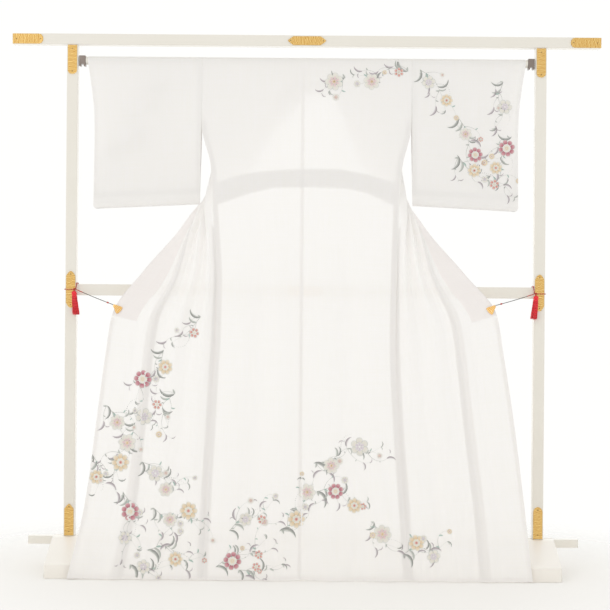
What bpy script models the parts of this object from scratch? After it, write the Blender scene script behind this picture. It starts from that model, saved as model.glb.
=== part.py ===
"""Formal kimono opened flat, back to the viewer, on a lacquered kimono stand.

Frame: metres, +Z up, +X to the viewer's right with the back of the garment in view, -Y towards the viewer.
The origin is at the bottom centre of the whole object's box.
"""

import math

import bpy
import numpy as np

SHIFT_Y = 0.0145  # the hem reaches further forward than the feet, so the posts stand behind the origin
GAP = 0.0003
SEAM_GAP = 0.0005  # between the cut edges of neighbouring cloth pieces
BEAM_HALF = 0.914
BEAM_H = 0.034
BEAM_D = 0.034
BEAM_Z = 1.653
POST_X = 0.730
POST_W = 0.034
RAIL_Z = 0.8725
RAIL_H = 0.035
RAIL_D = 0.026
LOW_RAIL_Z = 0.092
LOW_RAIL_H = 0.025
LOW_RAIL_HALF = 0.857
FOOT_W = 0.102
FOOT_TOP = 0.105
FOOT_FRONT = 0.044
ROD_R = 0.0125
ROD_Z = 1.588
ROD_HALF = 0.6895
BRACKET_IN = 0.6900
PLATE_T = 0.0020  # thickness of the gilt fittings

WALL = 0.0012  # cloth thickness in the solid
COLLAR_WALL = 0.0020  # the collar is folded, several plies thick
WRAP_R = ROD_R + GAP + 0.0001 + WALL / 2  # mid-surface radius of the cloth over the rod
HEM_Z = 0.004
SLOPE = 0.117  # the back leans forward from the rod to the hem, metres per metre of drop
FRONT_W = 0.255  # front panel width at the overlap seam
TIP_V = 0.240  # where the overlap begins
COLLAR_END_V = 0.870  # where the collar ends at the clip
LAST_V = 1.600
LOBES = 3  # soft folds gathered at the armpit
N_FRONT = 16  # columns across the front panel
WRAP_STEPS = 8  # facets over the rod
N_NECK = 3  # further columns of the back, from neck point to centre seam

# Columns: v down the cloth; x, y, z of the side seam, the collar seam and the free edge; depth of the folds.
# x is the distance outward from the centre, so both sides read alike.
LEFT_FRONT = (
    (0.000, 0.3255, 0.0135, 1.5880, 0.080, 0.0135, 1.588, 0.030, 0.014, 1.540, 0.002),
    (0.048, 0.3255, 0.0137, 1.5400, 0.080, 0.0137, 1.540, 0.014, 0.016, 1.488, 0.004),
    (0.200, 0.3250, 0.0080, 1.3880, 0.150, 0.0160, 1.400, 0.106, 0.022, 1.370, 0.020),
    (0.330, 0.2950, -0.0330, 1.2580, 0.214, 0.0060, 1.290, 0.164, 0.027, 1.266, 0.024),
    (0.450, 0.2870, -0.0640, 1.1380, 0.292, 0.0060, 1.180, 0.330, 0.054, 1.152, 0.026),
    (0.560, 0.2785, -0.0775, 1.0300, 0.364, -0.0440, 1.062, 0.410, -0.006, 1.040, 0.026),
    (0.700, 0.2710, -0.0930, 0.8900, 0.425, -0.0780, 0.916, 0.498, -0.080, 0.930, 0.024),
    (0.870, 0.2725, -0.1130, 0.7200, 0.513, -0.1060, 0.776, 0.590, -0.107, 0.795, 0.018),
    (0.960, 0.2770, -0.1235, 0.6300, 0.529, -0.1190, 0.679, 0.606, -0.118, 0.689, 0.015),
    (1.150, 0.2850, -0.1458, 0.4400, 0.551, -0.1440, 0.473, 0.630, -0.143, 0.480, 0.011),
    (1.380, 0.2950, -0.1727, 0.2100, 0.581, -0.1720, 0.225, 0.660, -0.171, 0.228, 0.009),
    (1.600, 0.3010, -0.1975, 0.0040, 0.631, -0.1990, 0.004, 0.709, -0.199, 0.004, 0.008),
)
RIGHT_FRONT = (
    (0.000, 0.3275, 0.0135, 1.5880, 0.106, 0.0135, 1.588, 0.058, 0.014, 1.540, 0.002),
    (0.048, 0.3275, 0.0137, 1.5400, 0.106, 0.0137, 1.540, 0.084, 0.016, 1.488, 0.004),
    (0.200, 0.3260, 0.0080, 1.3880, 0.176, 0.0160, 1.404, 0.134, 0.022, 1.374, 0.018),
    (0.330, 0.2980, -0.0330, 1.2580, 0.226, 0.0060, 1.294, 0.180, 0.027, 1.266, 0.023),
    (0.450, 0.2880, -0.0640, 1.1380, 0.290, 0.0060, 1.180, 0.318, 0.054, 1.152, 0.026),
    (0.560, 0.2840, -0.0775, 1.0300, 0.357, -0.0440, 1.062, 0.398, -0.006, 1.040, 0.026),
    (0.700, 0.2800, -0.0930, 0.8900, 0.418, -0.0780, 0.920, 0.492, -0.080, 0.926, 0.024),
    (0.870, 0.2770, -0.1130, 0.7200, 0.510, -0.1060, 0.780, 0.587, -0.107, 0.803, 0.018),
    (0.960, 0.2790, -0.1235, 0.6300, 0.528, -0.1190, 0.684, 0.605, -0.118, 0.697, 0.015),
    (1.150, 0.2890, -0.1458, 0.4400, 0.555, -0.1440, 0.470, 0.637, -0.143, 0.480, 0.011),
    (1.380, 0.3060, -0.1727, 0.2100, 0.589, -0.1720, 0.222, 0.667, -0.171, 0.226, 0.009),
    (1.600, 0.3185, -0.1975, 0.0040, 0.612, -0.1990, 0.004, 0.690, -0.199, 0.004, 0.008),
)
# Cloth widths down the front: side seam to collar seam, the panel alone, and side seam to free edge
SEAM_WIDTHS = ((0.0, 0.2330), (0.048, 0.2330), (TIP_V, 0.2640), (COLLAR_END_V, 0.3200), (LAST_V, 0.3250))
PANEL_WIDTHS = ((0.0, 0.2325), (0.048, 0.2325), (TIP_V, FRONT_W), (LAST_V, FRONT_W))
FULL_WIDTHS = ((0.0, 0.2880), (COLLAR_END_V, 0.3980), (LAST_V, 0.4040))
NECK_X = {"left": 0.080, "right": 0.106}
TOP_X = {"left": 0.3255, "right": 0.3275}
CENTRE_X = -0.0055

SLEEVE_ROWS = ((1.131, 0.664), (1.250, 0.662), (1.350, 0.660), (1.430, 0.662), (1.516, 0.672), (1.588, 0.683))
SLEEVE_COLS = (0.0, 0.18, 0.38, 0.6, 0.8, 1.0)
SLEEVE_BOTTOM_IN = 1.141
SLEEVE_BOTTOM_OUT = 1.126
CUFF_BOTTOM = 1.365  # the wrist edge is sewn below this height
ATTACH_Z = 1.396

TASSEL_LENGTH = 0.076
CLIP_V = 0.842
CLIP_ROOT = 0.0080  # the clip's narrow end stands this far outside the cloth's edge
LOOP_Z = {"left": 0.8735, "right": 0.8700}

# x and z of the waist tuck's upper and lower folds
TUCK_TOP = (
    (-0.274, 1.208), (-0.262, 1.212), (-0.200, 1.232), (-0.133, 1.243), (-0.028, 1.251), (0.105, 1.251),
    (0.176, 1.238), (0.262, 1.214), (0.274, 1.210),
)
TUCK_BOTTOM = (
    (-0.274, 1.135), (-0.262, 1.140), (-0.200, 1.162), (-0.166, 1.174), (-0.100, 1.190), (0.020, 1.193),
    (0.127, 1.189), (0.190, 1.176), (0.262, 1.142), (0.274, 1.137),
)
# Heights of the back's rows, from under the rod to the hem
BACK_HEIGHTS = (1.54, 1.48, 1.396, 1.33, 1.25, 1.19, 1.13, 1.05, 0.96, 0.84, 0.70, 0.52, 0.34, 0.17, HEM_Z)
# Positions down the front sheet, close together where its folds are gathered
FRONT_ROWS = (
    0.10, 0.15, 0.20, 0.24, 0.28, 0.32, 0.355, 0.39, 0.42, 0.45, 0.48, 0.51, 0.545, 0.58, 0.62, 0.67,
    0.73, 0.80, 0.87, 0.95, 1.05, 1.17, 1.30, 1.45, 1.60,
)

# base colour, roughness, metallic
FINISHES = {
    "silk": ((0.870, 0.850, 0.855), 0.75, 0.0),
    "collar_silk": ((0.860, 0.835, 0.845), 0.75, 0.0),
    "white_lacquer": ((0.880, 0.865, 0.840), 0.35, 0.0),
    "gilt": ((0.830, 0.560, 0.160), 0.35, 1.0),
    "bracket": ((0.210, 0.150, 0.130), 0.45, 0.0),
    "red_cord": ((0.620, 0.015, 0.025), 0.80, 0.0),
    "dark_elastic": ((0.030, 0.022, 0.024), 0.80, 0.0),
}


def make_material(name):
    """One Principled material for one node, by its finish."""
    colour, rough, metal = FINISHES[name]
    mat = bpy.data.materials.new(name)
    mat.use_nodes = True
    shader = mat.node_tree.nodes["Principled BSDF"]
    shader.inputs["Base Color"].default_value = (*colour, 1.0)
    shader.inputs["Roughness"].default_value = rough
    shader.inputs["Metallic"].default_value = metal
    return mat


def add_object(name, verts, faces, finish):
    """A named mesh object from points and faces, in the final frame."""
    verts = np.asarray(verts, float) + np.array([0.0, SHIFT_Y, 0.0])
    mesh = bpy.data.meshes.new(name)
    mesh.from_pydata([tuple(p) for p in verts], [], [tuple(int(i) for i in f) for f in faces])
    mesh.validate()
    mesh.update()
    obj = bpy.data.objects.new(name, mesh)
    mesh.materials.append(make_material(finish))
    bpy.context.scene.collection.objects.link(obj)
    return obj


def extrude_profile(profile, axis, low, high):
    """Points and faces of a closed profile carried along one axis; the profile runs in the other two axes."""
    n = len(profile)
    verts = []
    for level in (low, high):
        for a, b in profile:
            point = [a, b]
            point.insert(axis, level)
            verts.append(point)
    faces = [list(range(n))[::-1], list(range(n, 2 * n))]
    faces += [[i, (i + 1) % n, n + (i + 1) % n, n + i] for i in range(n)]
    return outward(np.array(verts), faces)


def outward(verts, faces):
    """Turn all faces over where the closed mesh encloses a negative volume."""
    volume = 0.0
    for face in faces:
        for k in range(1, len(face) - 1):
            a, b, c = verts[face[0]], verts[face[k]], verts[face[k + 1]]
            volume += float(np.dot(a, np.cross(b, c)))
    if volume < 0:
        faces = [list(face)[::-1] for face in faces]
    return verts, faces


def bar(size, centre, bevel=0.0015):
    """A bar with small chamfers along its length; the length is the longest side."""
    axis = int(np.argmax(size))
    others = [i for i in range(3) if i != axis]
    a, b = size[others[0]] / 2, size[others[1]] / 2
    ca, cb = centre[others[0]], centre[others[1]]
    profile = []
    for sa, sb, order in ((1, 1, 0), (-1, 1, 1), (-1, -1, 0), (1, -1, 1)):
        first = (ca + sa * a, cb + sb * (b - bevel))
        second = (ca + sa * (a - bevel), cb + sb * b)
        profile += [first, second] if order == 0 else [second, first]
    low, high = centre[axis] - size[axis] / 2, centre[axis] + size[axis] / 2
    return extrude_profile(profile, axis, low, high)


def face_normals(verts, faces):
    """Unit vertex normals, weighted by face area."""
    normals = np.zeros_like(verts)
    for face in faces:
        p = verts[list(face)]
        n = np.zeros(3)
        for k in range(1, len(face) - 1):
            n += np.cross(p[k] - p[0], p[k + 1] - p[0])
        normals[list(face)] += n
    length = np.linalg.norm(normals, axis=1, keepdims=True)
    return normals / np.maximum(length, 1e-12)


def thicken(verts, faces, wall, given=None):
    """A closed solid of even wall from a single-layer mesh, half the wall to each side.

    given maps a point's index to the normal of the surface that neighbouring pieces share there.
    """
    verts = np.asarray(verts, float)
    normals = face_normals(verts, faces)
    for i, normal in (given or {}).items():
        normals[i] = normal if float(np.dot(normal, normals[i])) >= 0 else -np.asarray(normal)
    n = len(verts)
    solid = np.vstack([verts + normals * wall / 2, verts - normals * wall / 2])
    out = [list(f) for f in faces] + [[n + i for i in f][::-1] for f in faces]
    directed = {(f[i], f[(i + 1) % len(f)]) for f in faces for i in range(len(f))}
    for a, b in directed:
        if (b, a) not in directed:
            out.append([b, a, n + a, n + b])
    return solid, out


def tube(points, radius, sides=8, closed=False):
    """A round tube along a path of points, capped or joined end to start."""
    points = [np.array(p, float) for p in points]
    count = len(points)
    verts, faces = [], []
    middle = np.mean(points, axis=0)
    ref = None
    for i, p in enumerate(points):
        ahead = points[(i + 1) % count] if (closed or i < count - 1) else p
        behind = points[i - 1] if (closed or i > 0) else p
        along = ahead - behind
        along /= np.linalg.norm(along)
        if closed:
            ref = p - middle
        elif ref is None:
            ref = np.array([0.0, 0.0, 1.0]) if abs(along[2]) < 0.9 else np.array([0.0, 1.0, 0.0])
        u = ref - along * float(np.dot(ref, along))
        u /= np.linalg.norm(u)
        ref = u
        w = np.cross(along, u)
        r = radius[i] if isinstance(radius, (list, tuple)) else radius
        for k in range(sides):
            t = 2 * math.pi * k / sides
            verts.append(p + r * (math.cos(t) * u + math.sin(t) * w))
    rings = count if closed else count - 1
    for i in range(rings):
        j = (i + 1) % count
        for k in range(sides):
            m = (k + 1) % sides
            faces.append([i * sides + k, i * sides + m, j * sides + m, j * sides + k])
    if not closed:
        faces.append([k for k in range(sides)][::-1])
        faces.append([(count - 1) * sides + k for k in range(sides)])
    return outward(np.array(verts), faces)


def band(half_a, half_b, low, high, low_tip, high_tip, wall, closed_end=None):
    """Single layer of a metal sleeve round a bar, in (a, b, along) axes.

    The front and back faces have pointed or rounded tips: low_tip and high_tip reach past the side edges.
    """
    ring = []
    for sign in (1, -1):
        for step in (-1.0, -0.5, 0.0, 0.5, 1.0):
            ring.append((sign * step * half_a, -sign * half_b, 1.0 - abs(step)))
    n = len(ring)
    rows = [low, high]
    verts = []
    for level, tip in zip(rows, (low_tip, high_tip)):
        for a, b, mid in ring:
            verts.append((a, b, level + tip * mid))
    faces = [[k, (k + 1) % n, n + (k + 1) % n, n + k] for k in range(n)]
    if closed_end is not None:
        # a flat plate closes the outer end
        verts = [(a, b, low if level < n else z) for level, (a, b, z) in enumerate(verts)]
        faces.append(list(range(n))[::-1])
    return np.array(verts, float), faces


def build_frame():
    """Beam, posts, rails, feet, rod and rod brackets."""
    add_object("beam", *bar((2 * BEAM_HALF, BEAM_D, BEAM_H), (0, 0, BEAM_Z)), "white_lacquer")
    top = BEAM_Z - BEAM_H / 2 - GAP
    bottom = FOOT_TOP + GAP
    for side, sx in (("left", -1), ("right", 1)):
        size = (POST_W, POST_W, top - bottom)
        post = bar(size, (sx * POST_X, 0, (top + bottom) / 2))
        add_object(f"post_{side}", *post, "white_lacquer")
        half = LOW_RAIL_H / 2
        slot = RAIL_D / 2 + GAP
        floor = LOW_RAIL_Z - half - GAP
        curve = [(0.184, 0.0), (0.184, FOOT_FRONT), (0.030, FOOT_TOP), (slot, FOOT_TOP), (slot, floor)]
        profile = [(-y, z) for y, z in curve] + [(y, z) for y, z in curve[::-1]]
        foot = extrude_profile(profile, 0, sx * POST_X - FOOT_W / 2, sx * POST_X + FOOT_W / 2)
        add_object(f"foot_{side}", *foot, "white_lacquer")
    span = 2 * (POST_X - POST_W / 2 - GAP)
    add_object("middle_rail", *bar((span, RAIL_D, RAIL_H), (0, 0, RAIL_Z)), "white_lacquer")
    size = (2 * LOW_RAIL_HALF, RAIL_D, LOW_RAIL_H)
    add_object("lower_rail", *bar(size, (0, 0, LOW_RAIL_Z)), "white_lacquer")
    add_object("rod", *tube([(-ROD_HALF, 0, ROD_Z), (ROD_HALF, 0, ROD_Z)], ROD_R, 16), "white_lacquer")
    for side, sx in (("left", -1), ("right", 1)):
        outer = POST_X - POST_W / 2 - PLATE_T - 3 * GAP
        mid = (BRACKET_IN + outer) / 2
        top, bottom = ROD_Z + 0.015, ROD_Z - 0.015
        profile = [
            (BRACKET_IN, top), (outer, top), (outer, bottom - 0.003), (mid + 0.004, bottom - 0.003),
            (mid + 0.004, bottom + 0.004), (mid - 0.004, bottom + 0.004), (mid - 0.004, bottom - 0.003),
            (BRACKET_IN, bottom - 0.003),
        ]
        profile = [(sx * x, z) for x, z in profile]
        add_object(f"rod_bracket_{side}", *extrude_profile(profile, 1, -0.013, 0.013), "bracket")


def wrap(half_a, half_b, low, high, low_tip, high_tip, place, closed_end=None):
    """A gilt sleeve solid: its inner face clears the bar by GAP."""
    off = GAP + PLATE_T / 2
    layer, faces = band(half_a + off, half_b + off, low, high, low_tip, high_tip, PLATE_T, closed_end)
    solid, faces = thicken(layer, faces, PLATE_T)
    return outward(np.array([place(p) for p in solid]), faces)


def build_fittings():
    """Gilt sleeves on the beam ends, the beam centre, the middle rail and three places on each post."""
    h, d = BEAM_H / 2, BEAM_D / 2
    for side, sx in (("left", -1), ("right", 1)):
        cap = BEAM_HALF + GAP + PLATE_T / 2
        inner = -BEAM_HALF + 0.076
        sleeve = wrap(h, d, -cap, inner, 0.0, 0.016, lambda p: (-sx * p[2], p[1], BEAM_Z + p[0]), True)
        add_object(f"beam_fitting_{side}", *sleeve, "gilt")
    centre = wrap(h, d, -0.046, 0.046, -0.014, 0.014, lambda p: (p[2] + 0.005, p[1], BEAM_Z + p[0]))
    add_object("beam_fitting_centre", *centre, "gilt")
    h, d = RAIL_H / 2, RAIL_D / 2
    rail = wrap(h, d, -0.042, 0.042, -0.014, 0.014, lambda p: (p[2], p[1], RAIL_Z + p[0]))
    add_object("rail_fitting_centre", *rail, "gilt")
    rows = (
        # name, low, high, low tip, high tip
        ("top", 1.556, 1.6345, -0.012, 0.0),
        ("middle", 0.832, 0.914, -0.016, 0.016),
        ("bottom", 0.107, 0.190, 0.0, 0.016),
    )
    for side, sx in (("left", -1), ("right", 1)):
        for name, low, high, low_tip, high_tip in rows:
            if name == "middle":
                # the rail butts against the post here, so the sleeve is a plate on the front face only
                plate = front_plate(POST_W / 2 - 0.0025, low, high, low_tip, high_tip)
                depth = -POST_W / 2 - GAP - PLATE_T / 2
                verts = [(sx * POST_X + x, depth + y, z) for x, y, z in plate[0]]
                add_object(f"post_fitting_{name}_{side}", *outward(np.array(verts), plate[1]), "gilt")
                continue
            h = POST_W / 2
            sleeve = wrap(h, h, low, high, low_tip, high_tip, lambda p: (sx * POST_X + p[0], p[1], p[2]))
            add_object(f"post_fitting_{name}_{side}", *sleeve, "gilt")


def front_plate(half, low, high, low_tip, high_tip):
    """A flat plate with pointed ends, in x and z, half its thickness to each side of y = 0."""
    steps = (-1.0, -0.5, 0.0, 0.5, 1.0)
    outline = [(s * half, low + low_tip * (1 - abs(s))) for s in steps]
    outline += [(s * half, high + high_tip * (1 - abs(s))) for s in steps[::-1]]
    return extrude_profile(outline, 1, -PLATE_T / 2, PLATE_T / 2)


def loop_points(half_x, half_y, radius, z, over):
    """A rounded rectangle round a post; on its inner side, at negative x, it climbs over the rail there."""
    points = []
    for cx, cy, start in ((1, 1, 0), (-1, 1, 90), (-1, -1, 180), (1, -1, 270)):
        for k in range(4):
            t = math.radians(start + 30 * k)
            lift = 0.0
            if cx < 0:
                lift = (0.0, 0.35, 0.8, 1.0)[k] if cy > 0 else (1.0, 0.8, 0.35, 0.0)[k]
            x = cx * (half_x - radius) + radius * math.cos(t)
            y = cy * (half_y - radius) + radius * math.sin(t)
            points.append((x, y, z + lift * (over - z)))
    return points


def tassel(anchor, lean):
    """Head and hanging strands as one solid: the strands grow out of the head's underside."""
    sides = 10
    rings = ((0.000, 0.0012), (-0.003, 0.0050), (-0.009, 0.0072), (-0.013, 0.0058), (-0.016, 0.0078))
    verts, faces = [], []
    for dz, r in rings:
        for k in range(sides):
            t = 2 * math.pi * k / sides
            verts.append((r * math.cos(t), r * math.sin(t), dz))
    for i in range(len(rings) - 1):
        for k in range(sides):
            m = (k + 1) % sides
            faces.append([i * sides + k, i * sides + m, (i + 1) * sides + m, (i + 1) * sides + k])
    faces.append(list(range(sides)))
    # The underside is a disc of triangles round a grid of strand roots.
    base = (len(rings) - 1) * sides
    cells = root_cells()
    start = len(verts)
    verts += [(x, y, -0.0165) for x, y in cells["points"]]
    for tri in cells["around"]:
        faces.append([base + i if kind == "ring" else start + i for kind, i in tri])
    for quad in cells["webs"]:
        faces.append([start + i for i in quad])
    for number, quad in enumerate(cells["roots"]):
        spread = 1.40 + 0.15 * math.sin(number * 2.4)
        length = TASSEL_LENGTH - 0.0165 - 0.004 * (0.5 + 0.5 * math.sin(number * 1.7))
        ring_a = [start + i for i in quad]
        centre = np.mean([cells["points"][i] for i in quad], axis=0)
        for part, (drop, shrink) in enumerate(((0.45, 1.0), (1.0, 0.8))):
            ring_b = []
            for i in quad:
                x, y = cells["points"][i]
                px = centre[0] * (1 + (spread - 1) * drop) + (x - centre[0]) * shrink
                py = centre[1] * (1 + (spread - 1) * drop) + (y - centre[1]) * shrink
                ring_b.append(len(verts))
                verts.append((px, py, -0.0165 - length * drop))
            for k in range(4):
                m = (k + 1) % 4
                faces.append([ring_a[k], ring_a[m], ring_b[m], ring_b[k]])
            ring_a = ring_b
        faces.append(ring_a)
    verts = np.array(verts, float)
    verts[:, 0] += lean * np.maximum(-verts[:, 2] - 0.004, 0)
    return outward(verts + np.array(anchor), consistent(faces))


def root_cells():
    """Strand roots on the head's underside: a grid of squares with thin webs between them, and a ring."""
    n = 5
    pitch, strand = 0.00210, 0.00150
    half = (n * pitch - (pitch - strand)) / 2
    lines = []
    for i in range(n):
        lines += [i * pitch - half, i * pitch - half + strand]
    count = len(lines)
    points = [(x, y) for y in lines for x in lines]
    roots, webs = [], []
    for j in range(count - 1):
        for i in range(count - 1):
            quad = [j * count + i, j * count + i + 1, (j + 1) * count + i + 1, (j + 1) * count + i]
            (roots if i % 2 == 0 and j % 2 == 0 else webs).append(quad)
    rim = [i for i in range(count)]
    rim += [j * count + count - 1 for j in range(1, count)]
    rim += [(count - 1) * count + i for i in range(count - 2, -1, -1)]
    rim += [j * count for j in range(count - 2, 0, -1)]
    angles = [math.atan2(points[i][1], points[i][0]) for i in rim]
    sides = 10
    around = []
    ring_angles = [2 * math.pi * k / sides for k in range(sides)]
    i, k = 0, int(round((angles[0] % (2 * math.pi)) / (2 * math.pi / sides))) % sides
    steps_i = steps_k = 0
    while steps_i < len(rim) or steps_k < sides:
        next_i = (i + 1) % len(rim)
        next_k = (k + 1) % sides
        ahead_i = (angles[next_i] - angles[0]) % (2 * math.pi)
        ahead_k = (ring_angles[next_k] - angles[0]) % (2 * math.pi)
        if steps_i == len(rim) - 1 and ahead_i < 1e-9:
            ahead_i = 2 * math.pi
        rim_first = steps_i < len(rim) and (steps_i + 1) / len(rim) <= (steps_k + 1) / sides
        if steps_k >= sides or rim_first:
            around.append([("root", rim[i]), ("root", rim[next_i]), ("ring", k)])
            i, steps_i = next_i, steps_i + 1
        else:
            around.append([("root", rim[i]), ("ring", next_k), ("ring", k)])
            k, steps_k = next_k, steps_k + 1
    return {"points": points, "roots": roots, "webs": webs, "around": around}


def build_ties():
    """Red loops round the posts with tassels, cords to the clips, and the clips on the garment's edges."""
    for side, sx in (("left", -1), ("right", 1)):
        z = LOOP_Z[side]
        cord_r = 0.0014
        clear = PLATE_T + 2 * GAP + cord_r
        over = RAIL_Z + RAIL_H / 2 + 0.003
        points = loop_points(POST_W / 2 + 2 * GAP + cord_r, POST_W / 2 + clear, 0.004, z, over)
        points = [(sx * (POST_X + x), y, height) for x, y, height in points]
        add_object(f"tie_loop_{side}", *tube(points, cord_r, 8, closed=True), "red_cord")
        front = -(POST_W / 2 + clear)
        knot = (sx * (POST_X - 0.012), front - cord_r - GAP - 0.0041, z)
        ball = [(knot[0], knot[1], knot[2] + dz) for dz in (0.0045, 0.0032, 0.0, -0.0032, -0.0045)]
        add_object(f"tie_knot_{side}", *tube(ball, [0.0014, 0.0034, 0.0040, 0.0034, 0.0014], 10), "red_cord")
        anchor = (knot[0], knot[1], knot[2] - 0.0045 - GAP)
        add_object(f"tassel_{side}", *tassel(anchor, -sx * 0.10), "red_cord")
        root, along, _, _ = clip_frame(side)
        start = np.array([knot[0] - sx * (0.0040 + GAP + 0.0004), knot[1], z])
        end = np.array(to_world(side, root - along * 0.0014))
        steps = []
        for t in (0, 0.25, 0.5, 0.75, 1):
            sag = np.array([0, 0, -0.0012 * math.sin(math.pi * t)])
            steps.append(start + (end - start) * t + sag)
        add_object(f"tie_cord_{side}", *tube(steps, 0.0010, 6), "dark_elastic")
        add_object(f"clip_{side}", *clip_solid(side), "gilt")


def clip_frame(side):
    """A clip's place on the collar's end: its narrow end, its axis, the way across and the cloth's normal."""
    u = full_u(CLIP_V)
    p = front_point(side, u, CLIP_V)
    inward = front_point(side, u - 0.02, CLIP_V) - p
    down = front_point(side, u, CLIP_V + 0.02) - front_point(side, u, CLIP_V - 0.02)
    inward /= np.linalg.norm(inward)
    down /= np.linalg.norm(down)
    normal = np.cross(inward, down)
    normal /= np.linalg.norm(normal)
    along = 0.85 * inward + 0.45 * down
    along /= np.linalg.norm(along)
    return p - along * CLIP_ROOT, along, np.cross(normal, along), normal


def clip_solid(side):
    """A fan-shaped clip: two leaves joined at the narrow outer end, one on each face of the cloth."""
    root, along, across, normal = clip_frame(side)
    # distance from the root along the leaf, half width, distance from the cloth's plane
    rows = (
        (0.0260, 0.0130, 0.0020),
        (0.0200, 0.0120, 0.0024),
        (0.0120, 0.0080, 0.0032),
        (0.0040, 0.0046, 0.0032),
        (0.0000, 0.0036, 0.0016),
    )
    path = [(d, w, -y) for d, w, y in rows] + [(d, w, y) for d, w, y in rows[::-1]]
    verts, faces = [], []
    for d, w, y in path:
        for t in (-1.0, 0.0, 1.0):
            bow = 0.0030 * (1 - t * t) if d > 0.018 else 0.0
            verts.append(to_world(side, root + along * (d + bow) + across * w * t + normal * y))
    for i in range(len(path) - 1):
        for k in range(2):
            faces.append([i * 3 + k, i * 3 + k + 1, (i + 1) * 3 + k + 1, (i + 1) * 3 + k])
    solid, faces = thicken(np.array(verts), faces, 0.0010)
    return outward(solid, faces)


def smooth_columns(table, v):
    """All columns of a table at parameters v, by a smooth curve through the rows."""
    table = np.array(table, float)
    t, y = table[:, 0], table[:, 1:]
    slope = np.zeros_like(y)
    h = np.diff(t)[:, None]
    d = np.diff(y, axis=0) / h
    same = d[:-1] * d[1:] > 0
    mean = np.where(same, 2 * d[:-1] * d[1:] / np.where(same, d[:-1] + d[1:], 1.0), 0.0)
    slope[1:-1] = mean
    slope[0], slope[-1] = d[0], d[-1]
    v = np.atleast_1d(np.asarray(v, float))
    k = np.clip(np.searchsorted(t, v, side="right") - 1, 0, len(t) - 2)
    w = ((v - t[k]) / (t[k + 1] - t[k]))[:, None]
    span = (t[k + 1] - t[k])[:, None]
    a = (1 + 2 * w) * (1 - w) ** 2
    b = w * (1 - w) ** 2
    c = w * w * (3 - 2 * w)
    e = w * w * (w - 1)
    return a * y[k] + b * span * slope[k] + c * y[k + 1] + e * span * slope[k + 1]


def step_curve(value, points):
    """Piecewise linear value."""
    return float(np.interp(value, [p[0] for p in points], [p[1] for p in points]))


def seam_u(v):
    """Cloth width from side seam to collar seam."""
    return step_curve(v, SEAM_WIDTHS)


def panel_u(v):
    """Cloth width of the front panel alone."""
    return step_curve(v, PANEL_WIDTHS)


def full_u(v):
    """Cloth width from side seam to free edge, collar or overlap included."""
    return step_curve(v, FULL_WIDTHS)


def back_lean(z):
    """Mid-surface depth of the back panels at a height below the rod."""
    return -WRAP_R - SLOPE * (ROD_Z - z)


def front_point(side, u, v):
    """A point of the front sheet, u metres of cloth from the side seam, v down from behind the rod."""
    table = LEFT_FRONT if side == "left" else RIGHT_FRONT
    row = smooth_columns(table, v)[0]
    a, b, f = row[0:3], row[3:6], row[6:9]
    fold = row[9]
    uc, uf = seam_u(v), full_u(v)
    if u <= uc:
        share = u / uc
        flat = np.array([b[0] - a[0], b[1] - a[1]])
        flat /= max(np.linalg.norm(flat), 1e-9)
        normal = np.array([flat[1], -flat[0], 0.0])
        lobe = math.sin(math.pi * LOBES * share) ** 2
        ease = 1.0 - 0.25 * share
        p = a + (b - a) * share + normal * fold * lobe * ease
    else:
        p = b + (f - b) * (u - uc) / (uf - uc)
    return p


def front_normal(side, u, v):
    """Unit normal of the front sheet, the same for every piece that meets there."""
    high = full_u(v)
    du = front_point(side, min(u + 0.0015, high), v) - front_point(side, max(u - 0.0015, 0.0), v)
    dv = front_point(side, u, min(v + 0.004, LAST_V)) - front_point(side, u, v - 0.004)
    normal = np.cross(du, dv)
    return normal / max(float(np.linalg.norm(normal)), 1e-12)


def past_seam(side, u, v, gap=SEAM_GAP):
    """The next position in the cloth that lies a clear gap beyond u."""
    start = front_point(side, u, v)
    step = gap
    for _ in range(12):
        distance = float(np.linalg.norm(front_point(side, u + step, v) - start))
        step *= gap / max(distance, 1e-6)
    return u + step


def to_world(side, p):
    """From outward distance to x."""
    return (-p[0] if side == "left" else p[0], p[1], p[2])


def back_edge_x(side, z):
    """Outward distance of the side edge of the back at a height."""
    table = np.array(LEFT_FRONT if side == "left" else RIGHT_FRONT)
    heights, xs = table[::-1, 3], table[::-1, 1]
    if z >= ROD_Z:
        return float(TOP_X[side])
    lo = np.searchsorted(heights, z)
    if lo <= 0:
        return float(xs[0])
    rows = [(h, x) for h, x in zip(heights, xs)]
    return float(smooth_columns(rows, z)[0][0])


def over_rod(lean):
    """Depths and heights of the cloth's way over the rod, from the front tangent to the rear one."""
    points = []
    step = (math.pi - lean) / WRAP_STEPS
    for k in range(WRAP_STEPS + 1):
        radius = WRAP_R / (math.cos(step / 2) if 0 < k < WRAP_STEPS else 1.0)
        angle = (math.pi - lean) - step * k
        points.append((radius * math.cos(angle), ROD_Z + radius * math.sin(angle)))
    return points


def back_fold(q, z):
    """Forward depth of the soft upright folds of the back."""
    grow = min(max((1.15 - z) / 0.6, 0.0), 1.0)
    return (0.002 + 0.009 * grow) * math.sin(math.pi * 2 * q) ** 2


def column_share(side, j):
    """Share of the half back at column j, from the side edge to the centre seam."""
    sx = -1 if side == "left" else 1
    half = TOP_X[side] - sx * CENTRE_X
    neck = (TOP_X[side] - NECK_X[side]) / half
    if j <= N_FRONT:
        return neck * j / N_FRONT
    return neck + (1 - neck) * (j - N_FRONT) / N_NECK


def back_point(side, q, z, lift=0.0):
    """A point of the back panel at share q and height z below the rod; lift moves it to the rear."""
    sx = -1 if side == "left" else 1
    edge = back_edge_x(side, z)
    seam = sx * CENTRE_X + GAP
    x = edge + (seam - edge) * q
    y = back_lean(z) - back_fold(q, z) + lift
    return np.array([x, y, z])


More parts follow.
